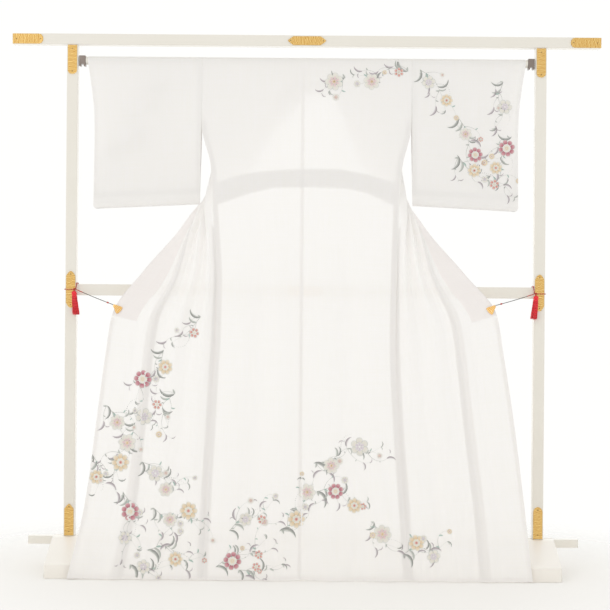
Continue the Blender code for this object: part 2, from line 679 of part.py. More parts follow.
def panel_places(v):
    """Cloth positions of the front panel's columns, on crests and troughs where the folds are tight."""
    even = [panel_u(v) * j / N_FRONT for j in range(N_FRONT + 1)]
    pitch = seam_u(v) / (6 * LOBES)
    tight = [pitch * j for j in range(N_FRONT)] + [panel_u(v)]
    share = step_curve(v, ((0.10, 1.0), (0.24, 0.0), (0.60, 0.0), (0.87, 1.0)))
    places = [t + (e - t) * share for t, e in zip(tight, even)]
    if v > 0.5:
        places[0] = SEAM_GAP
    return places


def build_body(side):
    """One body panel: hem of the back, over the rod, down behind it to the hem of the front."""
    rows = []
    wide = N_FRONT + N_NECK + 1
    for z in BACK_HEIGHTS[::-1]:
        rows.append([back_point(side, column_share(side, j), z) for j in range(wide)])
    for y, z in over_rod(math.atan(SLOPE)):
        row = []
        for j in range(wide):
            x = back_point(side, column_share(side, j), ROD_Z)[0]
            row.append(np.array([x, y, z]))
        rows.append(row)
    for z in (1.565, 1.540):
        row = []
        for j in range(wide):
            x = back_point(side, column_share(side, j), ROD_Z)[0]
            row.append(np.array([x, WRAP_R + 0.0002 * (ROD_Z - z) / 0.048, z]))
        rows.append(row)
    normals = {}
    count = sum(len(row) for row in rows)
    for v in FRONT_ROWS:
        places = panel_places(v)
        rows.append([front_point(side, u, v) for u in places])
        for j, u in enumerate(places):
            normals[count + j] = np.array(to_world(side, front_normal(side, u, v)))
        count += len(places)
    verts, index = [], []
    for row in rows:
        index.append(list(range(len(verts), len(verts) + len(row))))
        verts += [to_world(side, p) for p in row]
    faces = []
    for r in range(len(rows) - 1):
        count = min(len(rows[r]), len(rows[r + 1])) - 1
        for j in range(count):
            faces.append([index[r][j], index[r][j + 1], index[r + 1][j + 1], index[r + 1][j]])
    solid, faces = thicken(np.array(verts), faces, WALL, normals)
    add_object(f"body_{side}", *outward(solid, faces), "silk")


def grid_object(name, rows, wall, finish, normals=None):
    """A thick sheet from equal rows of points."""
    n = len(rows[0])
    verts = [tuple(p) for row in rows for p in row]
    faces = []
    for r in range(len(rows) - 1):
        for j in range(n - 1):
            faces.append([r * n + j, r * n + j + 1, (r + 1) * n + j + 1, (r + 1) * n + j])
    solid, faces = thicken(np.array(verts), faces, wall, normals)
    return add_object(name, *outward(solid, faces), finish)


def build_overlap(side):
    """Front overlap: a wedge beside the collar that widens to a straight panel below it."""
    columns = 5
    spans = []
    for v in FRONT_ROWS:
        if v <= TIP_V + 0.03:
            continue
        at_end = abs(v - COLLAR_END_V) <= 0.005
        if v < COLLAR_END_V - 0.005 or at_end:
            spans.append((v, past_seam(side, panel_u(v), v, SEAM_GAP + 0.0002), seam_u(v)))
        if at_end:
            v = COLLAR_END_V + 0.006
        if v > COLLAR_END_V:
            spans.append((v, past_seam(side, panel_u(v), v), full_u(v)))
    rows, normals = [], {}
    for v, low, high in spans:
        row = []
        for k in range(columns + 1):
            u = low + (high - low) * k / columns
            normals[len(rows) * (columns + 1) + k] = np.array(to_world(side, front_normal(side, u, v)))
            row.append(to_world(side, front_point(side, u, v)))
        rows.append(row)
    grid_object(f"overlap_{side}", rows, WALL, "silk", normals)


def collar_row(side, v, columns):
    """Points and normals across the collar from its seam to its free edge."""
    low = past_seam(side, seam_u(v), v, SEAM_GAP + (COLLAR_WALL - WALL) / 2)
    high = full_u(v)
    places = [low + (high - low) * k / columns for k in range(columns + 1)]
    points = [np.array(to_world(side, front_point(side, u, v))) for u in places]
    return points, [np.array(to_world(side, front_normal(side, u, v))) for u in places]


def collar_rows(columns, last_v):
    """Rows along the whole collar, from the left end round the back of the neck to the right end."""
    stations = [v for v in (0.048,) + FRONT_ROWS if v <= last_v + 1e-6]
    stations = [COLLAR_END_V - 0.001 if abs(v - COLLAR_END_V) < 1e-6 else v for v in stations]
    left = [collar_row("left", v, columns) for v in stations]
    right = [collar_row("right", v, columns) for v in stations]
    for points, _ in left + right:
        for p in points:
            p[2] = min(p[2], 1.5375)
    middle = []
    for t in (0.2, 0.4, 0.6, 0.8):
        row = []
        for p, q in zip(left[0][0], right[0][0]):
            m = p + (q - p) * t
            m[2] -= 0.002 * math.sin(math.pi * t)
            row.append(m)
        middle.append((row, [np.array([0.0, 1.0, 0.0])] * (columns + 1)))
    rows = left[::-1] + middle + right
    points = [row[0] for row in rows]
    normals = {}
    for i, row in enumerate(rows):
        for k, normal in enumerate(row[1]):
            normals[i * (columns + 1) + k] = normal
    return points, normals


def build_collar():
    """Collar round the neck and down both fronts, and the over-collar on its outer face."""
    columns = 4
    points, normals = collar_rows(columns, COLLAR_END_V)
    grid_object("collar", points, COLLAR_WALL, "collar_silk", normals)
    points, normals = collar_rows(columns, 0.32)
    rows = np.array(points)
    along = np.gradient(rows, axis=0)
    across = np.gradient(rows, axis=1)
    normal = np.cross(along, across)
    normal /= np.linalg.norm(normal, axis=2, keepdims=True)
    if normal[len(rows) // 2, 2, 1] < 0:
        normal = -normal
    lift = COLLAR_WALL / 2 + GAP + WALL / 2 + 0.0006
    grid_object("over_collar", rows + normal * lift, WALL, "collar_silk")


def build_tuck():
    """Waist tuck: a band of folded cloth behind the back panels, following their surface."""
    rows = []
    for level in (0.0, 0.5, 1.0):
        row = []
        for x in np.linspace(-0.272, 0.272, 21):
            z = step_curve(x, TUCK_TOP) * (1 - level) + step_curve(x, TUCK_BOTTOM) * level
            side = "left" if x < CENTRE_X else "right"
            sx = -1 if side == "left" else 1
            edge = back_edge_x(side, z)
            seam = sx * CENTRE_X + GAP
            q = min(max((sx * x - edge) / (seam - edge), 0.0), 1.0)
            p = back_point(side, q, z, WALL / 2 + 2 * GAP + 0.0008)
            row.append((x, p[1], z))
        rows.append(row)
    grid_object("waist_tuck", rows, 0.0016, "silk")


def build_sleeve(side):
    """One sleeve: a loop over the rod, sewn along the bottom and up part of the wrist edge."""
    heights = (1.54, 1.47, 1.396, CUFF_BOTTOM, 1.30, 1.22, 1.165)

    def depth(front, z, t):
        drop = ROD_Z - z
        if front:
            lean = SLOPE * min(drop, ROD_Z - ATTACH_Z) * (1 - t) ** 1.4
            y = -WRAP_R - lean
        else:
            y = WRAP_R
        near = min(max((1.36 - z) / 0.20, 0.0), 1.0)
        near = near * near * (3 - 2 * near)
        middle = -0.010 * (1 - t) - 0.002
        half = 0.0075
        target = middle - half if front else middle + half
        return y + (target - y) * near

    def ring(t):
        bottom = SLEEVE_BOTTOM_IN + (SLEEVE_BOTTOM_OUT - SLEEVE_BOTTOM_IN) * t
        points = []
        scale = [bottom + (z - 1.131) * (ROD_Z - bottom) / (ROD_Z - 1.131) for z in heights]
        scale = [z0 if z0 >= CUFF_BOTTOM else s for z0, s in zip(heights, scale)]
        for z in scale[::-1]:
            points.append((depth(True, z, t), z))
        lean = math.atan(SLOPE * (1 - t) ** 1.4)
        points += over_rod(lean)
        for z in scale:
            points.append((depth(False, z, t), z))
        low_z = scale[-1]
        yf, yr = points[0][0], points[-1][0]
        for k in (1, 2, 3):
            angle = math.pi * k / 4
            y = (yf + yr) / 2 + (yr - yf) / 2 * math.cos(angle)
            z = bottom + (low_z - bottom) * (1 - math.sin(angle)) ** 1.0
            points.append((y, z))
        return points

    verts, n = [], None
    for t in SLEEVE_COLS:
        points = ring(t)
        n = len(points)
        for y, z in points:
            inner = TOP_X[side] + 0.0005 + max(0.0, (ATTACH_Z - z) / 0.25) * 0.0045
            out = float(smooth_columns(SLEEVE_ROWS, min(z, ROD_Z))[0][0])
            if z < 1.145 and t > 0.9:
                out -= 0.004
            verts.append(to_world(side, (inner + (out - inner) * t, y, z)))
    faces = []
    for i in range(len(SLEEVE_COLS) - 1):
        for k in range(n):
            m = (k + 1) % n
            faces.append([i * n + k, i * n + m, (i + 1) * n + m, (i + 1) * n + k])
    # sewn part of the wrist edge
    last = (len(SLEEVE_COLS) - 1) * n
    levels = len(heights)
    sewn = [i for i, z in enumerate(heights[::-1]) if z <= CUFF_BOTTOM]
    rear = {i: levels + WRAP_STEPS + 1 + (levels - 1 - i) for i in sewn}
    for i in sewn[:-1]:
        faces.append([last + i, last + i + 1, last + rear[i + 1], last + rear[i]])
    low = levels + WRAP_STEPS + 1 + levels
    faces.append([last + low + 2, last + 0, last + rear[0], last + low])
    faces.append([last + low + 2, last + low, last + low + 1])
    solid, faces = thicken(np.array(verts), consistent(faces), WALL)
    add_object(f"sleeve_{side}", *outward(solid, faces), "silk")


def consistent(faces):
    """Turn faces so that each shared edge is run in opposite directions."""
    owners = {}
    for i, face in enumerate(faces):
        for k in range(len(face)):
            edge = frozenset((face[k], face[(k + 1) % len(face)]))
            owners.setdefault(edge, []).append(i)
    faces = [list(f) for f in faces]
    seen, queue = {0}, [0]
    while queue:
        i = queue.pop()
        face = faces[i]
        for k in range(len(face)):
            a, b = face[k], face[(k + 1) % len(face)]
            for j in owners[frozenset((a, b))]:
                if j in seen:
                    continue
                other = faces[j]
                same = any(other[m] == a and other[(m + 1) % len(other)] == b for m in range(len(other)))
                if same:
                    faces[j] = other[::-1]
                seen.add(j)
                queue.append(j)
    return faces


def main():
    for obj in list(bpy.data.objects):
        bpy.data.objects.remove(obj)
    build_frame()
    build_fittings()
    build_ties()
    for side in ("left", "right"):
        build_body(side)
        build_overlap(side)
        build_sleeve(side)
    build_collar()
    build_tuck()


main()
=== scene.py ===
"""Looks of a formal summer kimono of sheer silk, shown from the back on a white lacquered stand.

The cloth is single plies of translucent silk, so seams, tuck and fronts show as darker places where plies lie on
each other; the silk of the seam allowances is also painted darker, as painted shade on the seams. The hand-dyed
design is drawn in a flat plane and laid onto the cloth. Lengths are metres.
"""

import logging
import math
from collections.abc import Callable
from dataclasses import dataclass, field
from enum import Enum

import bmesh
import bpy
import numpy as np
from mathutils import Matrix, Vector
from mathutils.bvhtree import BVHTree


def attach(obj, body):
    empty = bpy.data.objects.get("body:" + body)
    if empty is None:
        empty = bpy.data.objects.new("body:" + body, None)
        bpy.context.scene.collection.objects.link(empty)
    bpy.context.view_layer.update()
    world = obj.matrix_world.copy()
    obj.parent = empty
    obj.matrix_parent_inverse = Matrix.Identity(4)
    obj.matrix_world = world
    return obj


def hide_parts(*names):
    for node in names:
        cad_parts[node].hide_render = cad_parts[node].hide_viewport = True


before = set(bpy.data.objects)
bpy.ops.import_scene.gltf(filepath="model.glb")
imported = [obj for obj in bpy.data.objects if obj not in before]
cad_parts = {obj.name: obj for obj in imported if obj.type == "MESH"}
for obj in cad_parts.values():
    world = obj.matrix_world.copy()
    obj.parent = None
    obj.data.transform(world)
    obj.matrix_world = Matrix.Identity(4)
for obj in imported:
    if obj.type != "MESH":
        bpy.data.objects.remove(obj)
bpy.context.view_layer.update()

log = logging.getLogger("kimono")
Points = np.ndarray
Faces = list[tuple[int, ...]]
Tree = bpy.types.NodeTree
Socket = bpy.types.NodeSocket
Material = bpy.types.Material
Mesh = bpy.types.Mesh
Object = bpy.types.Object


class Side(Enum):
    """Left or right half, as the back faces the viewer."""

    LEFT = -1
    RIGHT = 1

    @property
    def word(self) -> str:
        """Name used in piece names."""
        return self.name.lower()


# Distance between the bands of a wave texture whose scale is one
WAVE_REPEAT = 0.314

# Sizes shared with the solids
SHIFT_Y = 0.0145
ROD_Z, WRAP_R = 1.588, 0.0135
SLOPE = 0.117
HEM_Z = 0.004
CENTRE_X = -0.0055
TIP_V, COLLAR_END_V, LAST_V = 0.240, 0.870, 1.600
LOBES = 3
POST_X, POST_W = 0.730, 0.034
RAIL_Z, RAIL_H = 0.8725, 0.035
PLATE_T, GAP = 0.0020, 0.0003
CLIP_V, CLIP_ROOT = 0.842, 0.0080
SLEEVE_BOTTOM, ARMHOLE_Z = 1.131, 1.396
COLLAR_TOP_V = 0.048
TUCK_END = 0.274
TOP_X = {Side.LEFT: 0.3255, Side.RIGHT: 0.3275}
NECK_X = {Side.LEFT: 0.080, Side.RIGHT: 0.106}
LOOP_Z = {Side.LEFT: 0.8735, Side.RIGHT: 0.8700}
SEAM_WIDTHS = ((0.0, 0.2330), (0.048, 0.2330), (TIP_V, 0.2640), (COLLAR_END_V, 0.3200), (LAST_V, 0.3250))
PANEL_WIDTHS = ((0.0, 0.2325), (0.048, 0.2325), (TIP_V, 0.255), (LAST_V, 0.255))
FULL_WIDTHS = ((0.0, 0.2880), (COLLAR_END_V, 0.3980), (LAST_V, 0.4040))
# Columns: v down the cloth; x, y, z of the side seam, the collar seam and the free edge; depth of the folds
FRONTS = {
    Side.LEFT: (
        (0.000, 0.3255, 0.0135, 1.5880, 0.080, 0.0135, 1.588, 0.030, 0.014, 1.540, 0.002),
        (0.048, 0.3255, 0.0137, 1.5400, 0.080, 0.0137, 1.540, 0.014, 0.016, 1.488, 0.004),
        (0.200, 0.3250, 0.0080, 1.3880, 0.150, 0.0160, 1.400, 0.106, 0.022, 1.370, 0.020),
        (0.330, 0.2950, -0.0330, 1.2580, 0.214, 0.0060, 1.290, 0.164, 0.027, 1.266, 0.024),
        (0.450, 0.2870, -0.0640, 1.1380, 0.292, 0.0060, 1.180, 0.330, 0.054, 1.152, 0.026),
        (0.560, 0.2785, -0.0775, 1.0300, 0.364, -0.0440, 1.062, 0.410, -0.006, 1.040, 0.026),
        (0.700, 0.2710, -0.0930, 0.8900, 0.425, -0.0780, 0.916, 0.498, -0.080, 0.930, 0.024),
        (0.870, 0.2725, -0.1130, 0.7200, 0.513, -0.1060, 0.776, 0.590, -0.107, 0.795, 0.018),
        (0.960, 0.2770, -0.1235, 0.6300, 0.529, -0.1190, 0.679, 0.606, -0.118, 0.689, 0.015),
        (1.150, 0.2850, -0.1458, 0.4400, 0.551, -0.1440, 0.473, 0.630, -0.143, 0.480, 0.011),
        (1.380, 0.2950, -0.1727, 0.2100, 0.581, -0.1720, 0.225, 0.660, -0.171, 0.228, 0.009),
        (1.600, 0.3010, -0.1975, 0.0040, 0.631, -0.1990, 0.004, 0.709, -0.199, 0.004, 0.008),
    ),
    Side.RIGHT: (
        (0.000, 0.3275, 0.0135, 1.5880, 0.106, 0.0135, 1.588, 0.058, 0.014, 1.540, 0.002),
        (0.048, 0.3275, 0.0137, 1.5400, 0.106, 0.0137, 1.540, 0.084, 0.016, 1.488, 0.004),
        (0.200, 0.3260, 0.0080, 1.3880, 0.176, 0.0160, 1.404, 0.134, 0.022, 1.374, 0.018),
        (0.330, 0.2980, -0.0330, 1.2580, 0.226, 0.0060, 1.294, 0.180, 0.027, 1.266, 0.023),
        (0.450, 0.2880, -0.0640, 1.1380, 0.290, 0.0060, 1.180, 0.318, 0.054, 1.152, 0.026),
        (0.560, 0.2840, -0.0775, 1.0300, 0.357, -0.0440, 1.062, 0.398, -0.006, 1.040, 0.026),
        (0.700, 0.2800, -0.0930, 0.8900, 0.418, -0.0780, 0.920, 0.492, -0.080, 0.926, 0.024),
        (0.870, 0.2770, -0.1130, 0.7200, 0.510, -0.1060, 0.780, 0.587, -0.107, 0.803, 0.018),
        (0.960, 0.2790, -0.1235, 0.6300, 0.528, -0.1190, 0.684, 0.605, -0.118, 0.697, 0.015),
        (1.150, 0.2890, -0.1458, 0.4400, 0.555, -0.1440, 0.470, 0.637, -0.143, 0.480, 0.011),
        (1.380, 0.3060, -0.1727, 0.2100, 0.589, -0.1720, 0.222, 0.667, -0.171, 0.226, 0.009),
        (1.600, 0.3185, -0.1975, 0.0040, 0.612, -0.1990, 0.004, 0.690, -0.199, 0.004, 0.008),
    ),
}
SLEEVE_EDGE = ((1.131, 0.664), (1.250, 0.662), (1.350, 0.660), (1.430, 0.662), (1.516, 0.672), (1.588, 0.683))
TUCK_TOP = ((-0.274, 1.208), (-0.262, 1.212), (-0.200, 1.232), (-0.133, 1.243), (-0.028, 1.251), (0.105, 1.251),
            (0.176, 1.238), (0.262, 1.214), (0.274, 1.210))
TUCK_BOTTOM = ((-0.274, 1.135), (-0.262, 1.140), (-0.200, 1.162), (-0.166, 1.174), (-0.100, 1.190),
               (0.020, 1.193), (0.127, 1.189), (0.190, 1.176), (0.262, 1.142), (0.274, 1.137))


def linear(code: str) -> tuple[float, float, float, float]:
    """Turn an sRGB hex colour into linear RGBA.

    Args:
        code: Colour such as "#F4EFEA".

    Returns:
        Linear red, green, blue and an alpha of one.
    """
    parts = [int(code[i:i + 2], 16) / 255 for i in (1, 3, 5)]
    red, green, blue = (c / 12.92 if c <= 0.04045 else ((c + 0.055) / 1.055) ** 2.4 for c in parts)
    return red, green, blue, 1.0


def add(tree: Tree, kind: str, values: dict | None = None, **settings: object) -> bpy.types.Node:
    """Add one node to a tree.

    Args:
        tree: The node tree.
        kind: The node's type name.
        values: Inputs by name or number; an output socket makes a link, anything else is a plain value.
        settings: Properties of the node itself.

    Returns:
        The new node.
    """
    node = tree.nodes.new(kind)
    for key, value in settings.items():
        setattr(node, key, value)
    for key, value in (values or {}).items():
        if isinstance(value, Socket):
            tree.links.new(value, node.inputs[key])
        else:
            node.inputs[key].default_value = value
    return node


def out(tree: Tree, kind: str, values: dict | None = None, socket: int | str = 0, **settings: object) -> Socket:
    """Add one node, as add does, and return one of its outputs by name or number."""
    return add(tree, kind, values, **settings).outputs[socket]


def maths(tree: Tree, operation: str, *values: object) -> Socket:
    """Work out one number from up to three."""
    return out(tree, "ShaderNodeMath", dict(enumerate(values)), operation=operation)


def remap(tree: Tree, value: Socket, given: tuple = (0.0, 1.0), wanted: tuple = (0.0, 1.0),
          **settings: object) -> Socket:
    """Stretch a value from the given range to the wanted one."""
    ends = {"From Min": given[0], "From Max": given[1], "To Min": wanted[0], "To Max": wanted[1]}
    return out(tree, "ShaderNodeMapRange", {"Value": value, **ends}, **settings)


def chance(tree: Tree, low: object, high: object, seed: object) -> Socket:
    """A random number for each point."""
    return out(tree, "FunctionNodeRandomValue", {2: low, 3: high, "Seed": seed}, 1, data_type="FLOAT")


def vector(tree: Tree, **parts: object) -> Socket:
    """A vector from its X, Y and Z."""
    return out(tree, "ShaderNodeCombineXYZ", parts)


def blend(tree: Tree, share: Socket, low: str, high: str) -> Socket:
    """Mix two sRGB hex colours."""
    return out(tree, "ShaderNodeMix", {0: share, 6: linear(low), 7: linear(high)}, 2, data_type="RGBA")


def noise(tree: Tree, place: Socket, scale: float, detail: float) -> Socket:
    """Cloudy noise from 0 to 1."""
    return out(tree, "ShaderNodeTexNoise", {"Vector": place, "Scale": scale, "Detail": detail})


def wave(tree: Tree, length: float, distortion: float, values: dict | None = None, **settings: object) -> Socket:
    """Bands or rings over the UV map, one each length."""
    given = {"Vector": cloth_uv(tree), "Scale": WAVE_REPEAT / length, "Distortion": distortion, **(values or {})}
    return out(tree, "ShaderNodeTexWave", given, "Fac", **settings)


def bump(tree: Tree, height: Socket, strength: float, distance: float) -> Socket:
    """Normal that shows a height."""
    return out(tree, "ShaderNodeBump", {"Height": height, "Strength": strength, "Distance": distance})


def cloth_uv(tree: Tree) -> Socket:
    """The piece's own UV map."""
    return out(tree, "ShaderNodeUVMap", socket="UV", uv_map="cloth")


def object_place(tree: Tree) -> Socket:
    """Object coordinates, which are the row frame."""
    return out(tree, "ShaderNodeTexCoord", socket="Object")


def mixed(tree: Tree, share: object, first: Socket, second: Socket) -> Socket:
    """Two shaders in one, with this share of the second."""
    return out(tree, "ShaderNodeMixShader", {0: share, 1: first, 2: second})


@dataclass(frozen=True)
class Finish:
    """A surface finish; each kind sets out its own nodes in shader."""

    name: str

    def shader(self, tree: Tree) -> Socket:
        """Add the finish's nodes and return its last shader."""
        raise NotImplementedError

    def build(self) -> Material:
        """Make the material.

        Returns:
            The material, with its shader on the output.
        """
        mat = bpy.data.materials.new(self.name)
        mat.use_nodes = True
        mat.node_tree.nodes.clear()
        add(mat.node_tree, "ShaderNodeOutputMaterial", {"Surface": self.shader(mat.node_tree)})
        return mat


@dataclass(frozen=True)
class SheerSilk(Finish):
    """Plain-woven summer silk of fine raw threads: soft, matt, lets light through and a little of what is behind.

    The threads lie 0.25 mm apart; the weave is drawn at 1.6 mm so that it shows at all.
    """

    warp: str
    weft: str
    through: float
    clear: float
    thread: float = 0.0016
    slubs: tuple = ((260.0, 9.0, 1.0), (7.0, 320.0, 1.0))

    def shader(self, tree: Tree) -> Socket:
        """Uneven threads both ways, part skin, part glow, part gaps.

        Args:
            tree: The material's tree.

        Returns:
            The last shader.
        """
        uv = cloth_uv(tree)
        slubs = [noise(tree, out(tree, "ShaderNodeMapping", {"Vector": uv, "Scale": scale}), 1.0, 3.0)
                 for scale in self.slubs]
        tone = blend(tree, remap(tree, maths(tree, "MULTIPLY", *slubs), (0.15, 0.36)), self.warp, self.weft)
        threads = [wave(tree, self.thread, 0.4, bands_direction=way) for way in "XY"]
        normal = bump(tree, maths(tree, "MAXIMUM", *threads), 0.03, 0.0002)
        skin = out(tree, "ShaderNodeBsdfPrincipled", {
            "Base Color": tone, "Roughness": 0.62, "IOR": 1.5, "Sheen Weight": 0.25, "Sheen Roughness": 0.45,
            "Specular IOR Level": 0.25, "Normal": normal})
        glow = out(tree, "ShaderNodeBsdfTranslucent", {"Color": tone, "Normal": normal})
        cloth = mixed(tree, self.through, skin, glow)
        return mixed(tree, self.clear, cloth, out(tree, "ShaderNodeBsdfTransparent"))


@dataclass(frozen=True)
class Dye(Finish):
    """Hand-painted dye on silk: shaded from a motif's core to its rim, and slightly uneven, as a brush leaves it."""

    core: str
    rim: str
    glow: float = 0.18

    def shader(self, tree: Tree) -> Socket:
        """The tone is the UV map's first number, with blots.

        Args:
            tree: The material's tree.

        Returns:
            The last shader.
        """
        tone = out(tree, "ShaderNodeSeparateXYZ", {0: cloth_uv(tree)}, "X")
        shade = maths(tree, "MULTIPLY_ADD", noise(tree, object_place(tree), 160.0, 2.0), 0.45, tone)
        colour = blend(tree, remap(tree, shade, (0.2, 1.2)), self.core, self.rim)
        skin = out(tree, "ShaderNodeBsdfPrincipled", {
            "Base Color": colour, "Roughness": 0.6, "Sheen Weight": 0.2, "Sheen Roughness": 0.45,
            "Specular IOR Level": 0.25})
        return mixed(tree, self.glow, skin, out(tree, "ShaderNodeBsdfTranslucent", {"Color": colour}))


@dataclass(frozen=True)
class Lacquer(Finish):
    """Sprayed and polished lacquer on wood or metal: a clear gloss, faint waves from the polishing."""

    light: str
    dark: str
    ripple: float = 0.05

    def shader(self, tree: Tree) -> Socket:
        """Clouds of tone and gloss over fine waves.

        Args:
            tree: The material's tree.

        Returns:
            The last shader.
        """
        place = object_place(tree)
        cloud = noise(tree, place, 6.0, 3.0)
        return out(tree, "ShaderNodeBsdfPrincipled", {
            "Base Color": blend(tree, cloud, self.light, self.dark),
            "Roughness": remap(tree, cloud, wanted=(0.30, 0.42)), "Coat Weight": 0.5, "Coat Roughness": 0.18,
            "Normal": bump(tree, noise(tree, place, 1 / self.ripple, 4.0), 0.12, 0.001)})


@dataclass(frozen=True)
class TooledGilt(Finish):
    """Gilt brass sheet, chased by hand: ring-punched ground 1.3 mm apart, raised scrolls and a plain raised rim.

    The UV map holds millimetres round and along the fitting; the attribute "rim" is the distance to its edge.
    """

    bright: str
    patina: str
    punch: float = 1.3
    scroll: float = 4.2

    def shader(self, tree: Tree) -> Socket:
        """The higher of dots, scrolls and rim, with patina in the ground.

        Args:
            tree: The material's tree.

        Returns:
            The last shader.
        """
        rings = out(tree, "ShaderNodeTexVoronoi", {"Vector": cloth_uv(tree), "Scale": 1 / self.punch}, "Distance",
                    feature="F1")
        vines = wave(tree, self.scroll, 5.0, {"Detail": 1.0, "Detail Scale": 1.2}, wave_type="RINGS")
        relief = maths(tree, "MAXIMUM", remap(tree, rings, (0.25, 0.5), (0.30, 0.0)), remap(tree, vines, (0.55, 0.75)))
        edge = out(tree, "ShaderNodeAttribute", socket="Fac", attribute_name="rim")
        high = maths(tree, "MAXIMUM", relief, remap(tree, edge, (1.2, 1.6), (1.0, 0.0)))
        return out(tree, "ShaderNodeBsdfPrincipled", {
            "Base Color": blend(tree, relief, self.patina, self.bright), "Metallic": 1.0,
            "Roughness": remap(tree, high, wanted=(0.48, 0.28)), "Normal": bump(tree, high, 0.30, 0.0004)})


@dataclass(frozen=True)
class Braid(Finish):
    """Plaited silk or elastic cord: slanting strands that catch the light, from the UV map's round and along."""

    crown: str
    # Colour of the hollows between strands: painted shade, darker than the cord's own colour
    groove: str
    pitch: float
    rough: float = 0.75

    def shader(self, tree: Tree) -> Socket:
        """Slanting strands, with painted shade in the hollows between them.

        Args:
            tree: The material's tree.

        Returns:
            The last shader.
        """
        strand = wave(tree, self.pitch / 0.7, 0.6, bands_direction="DIAGONAL")
        return out(tree, "ShaderNodeBsdfPrincipled", {
            # The second colour is painted shade in the hollows between strands; the first is the cord's own colour
            "Base Color": blend(tree, strand, self.groove, self.crown), "Roughness": self.rough, "Sheen Weight": 0.3,
            "Normal": bump(tree, strand, 0.8, 0.0004)})


@dataclass(frozen=True)
class FloorPaint(Finish):
    """Pale matt floor paint that fades out into the white surroundings far from the stand."""

    tone: str
    fade: tuple = (0.6, 1.6)

    def shader(self, tree: Tree) -> Socket:
        """Paint near the stand, nothing far from it.

        Args:
            tree: The material's tree.

        Returns:
            The last shader.
        """
        far = out(tree, "ShaderNodeVectorMath", {0: object_place(tree)}, "Value", operation="LENGTH")
        paint = out(tree, "ShaderNodeBsdfDiffuse", {"Color": linear(self.tone), "Roughness": 0.8})
        return mixed(tree, remap(tree, far, self.fade, interpolation_type="SMOOTHSTEP"), paint,
                     out(tree, "ShaderNodeBsdfTransparent"))


# The same silk as a single ply and folded on itself; the cut edges inside the seams get a darker copy of it, painted
# shade for the darker seam bands
SILK = SheerSilk("sheer_silk_plain_weave", "#FBF9F6", "#FCFAF9", 0.12, 0.06)
SILK_FOLDED = SheerSilk("sheer_silk_folded_plies", "#FCF7F5", "#FDF9F7", 0.11, 0.06)
SILK_SEWN_SHADED = SheerSilk("sheer_silk_sewn_allowances", "#F4ECE9", "#F6F0ED", 0.20, 0.04)
# Each dye's colour at a motif's core and at its rim
DYES = {name: Dye("dye_" + name, core, rim) for name, core, rim in (
    ("ink", "#8C8E8A", "#DCDDD9"), ("mauve", "#A89CA2", "#E6E1E3"), ("ash", "#B6B9B3", "#E2E4DF"),
    ("teal", "#9AB8AD", "#DBE6E0"), ("coral", "#E28C80", "#F6D2C9"), ("crimson", "#BE6477", "#EAB8BE"),
    ("pink", "#ECC8C9", "#F8E9E8"), ("ochre", "#F3D3A2", "#FCF2E0"), ("lavender", "#DCD2D9", "#F1EBEF"),
    ("ivory", "#F6F0E2", "#FAF7F0"))}


def curve_through(t: Points, y: Points, slope: Points, at: Points) -> Points:
    """Read a smooth curve at some places, from its rows y at t and their slopes.

    Args:
        t: Where the rows are.
        y: The rows.
        slope: Slope of each column at each row.
        at: Places to read.

    Returns:
        One row for each place.
    """
    k = np.clip(np.searchsorted(t, at, side="right") - 1, 0, len(t) - 2)
    span = (t[k + 1] - t[k])[:, None]
    w = (at - t[k])[:, None] / span
    a, b = (1 + 2 * w) * (1 - w) ** 2, w * (1 - w) ** 2
    c, e = w * w * (3 - 2 * w), w * w * (w - 1)
    return a * y[k] + b * span * slope[k] + c * y[k + 1] + e * span * slope[k + 1]


def smooth_columns(table: tuple, v: Points) -> Points:
    """Read all columns of a table at positions v, by a smooth monotone curve through its rows.

    Args:
        table: Rows that start with their position.
        v: Positions to read.

    Returns:
        The other columns at each position.
    """
    rows = np.array(table, float)
    t, y = rows[:, 0], rows[:, 1:]
    slope = np.zeros_like(y)
    d = np.diff(y, axis=0) / np.diff(t)[:, None]
    same = d[:-1] * d[1:] > 0
    slope[1:-1] = np.where(same, 2 * d[:-1] * d[1:] / np.where(same, d[:-1] + d[1:], 1.0), 0.0)
    slope[0], slope[-1] = d[0], d[-1]
    return curve_through(t, y, slope, np.atleast_1d(np.asarray(v, float)))


def smooth_path(points: Points, step: float) -> Points:
    """Evenly spaced points on a smooth curve through a few given ones.

    Args:
        points: The given points, in order.
        step: Distance between the new points.

    Returns:
        The points of the curve.
    """
    p = np.asarray(points, float)
    chord = np.concatenate([[0.0], np.cumsum(np.linalg.norm(np.diff(p, axis=0), axis=1))])
    tangent = np.zeros_like(p)
    tangent[1:-1] = (p[2:] - p[:-2]) / (chord[2:] - chord[:-2])[:, None]
    tangent[0], tangent[-1] = (p[1] - p[0]) / chord[1], (p[-1] - p[-2]) / (chord[-1] - chord[-2])
    return curve_through(chord, p, tangent, np.linspace(0, chord[-1], max(3, int(chord[-1] / step) + 1)))


def width_at(v: Points, table: tuple) -> Points:
    """Cloth width at positions v, from a table of (v, width)."""
    return np.interp(v, [p[0] for p in table], [p[1] for p in table])


def eased(x: Points, low: float, high: float) -> Points:
    """Smooth step from 0 at low to 1 at high."""
    t = np.clip((np.asarray(x, float) - low) / (high - low), 0.0, 1.0)
    return t * t * (3 - 2 * t)


def pairs(across: Points, along: Points) -> Points:
    """Coordinate pairs of a grid of points: across the columns and along the rows."""
    return np.stack(np.broadcast_arrays(across, along), axis=-1).reshape(-1, 2)


def unit(arrow: Points) -> Points:
    """The same direction with a length of one."""
    return arrow / np.linalg.norm(arrow)


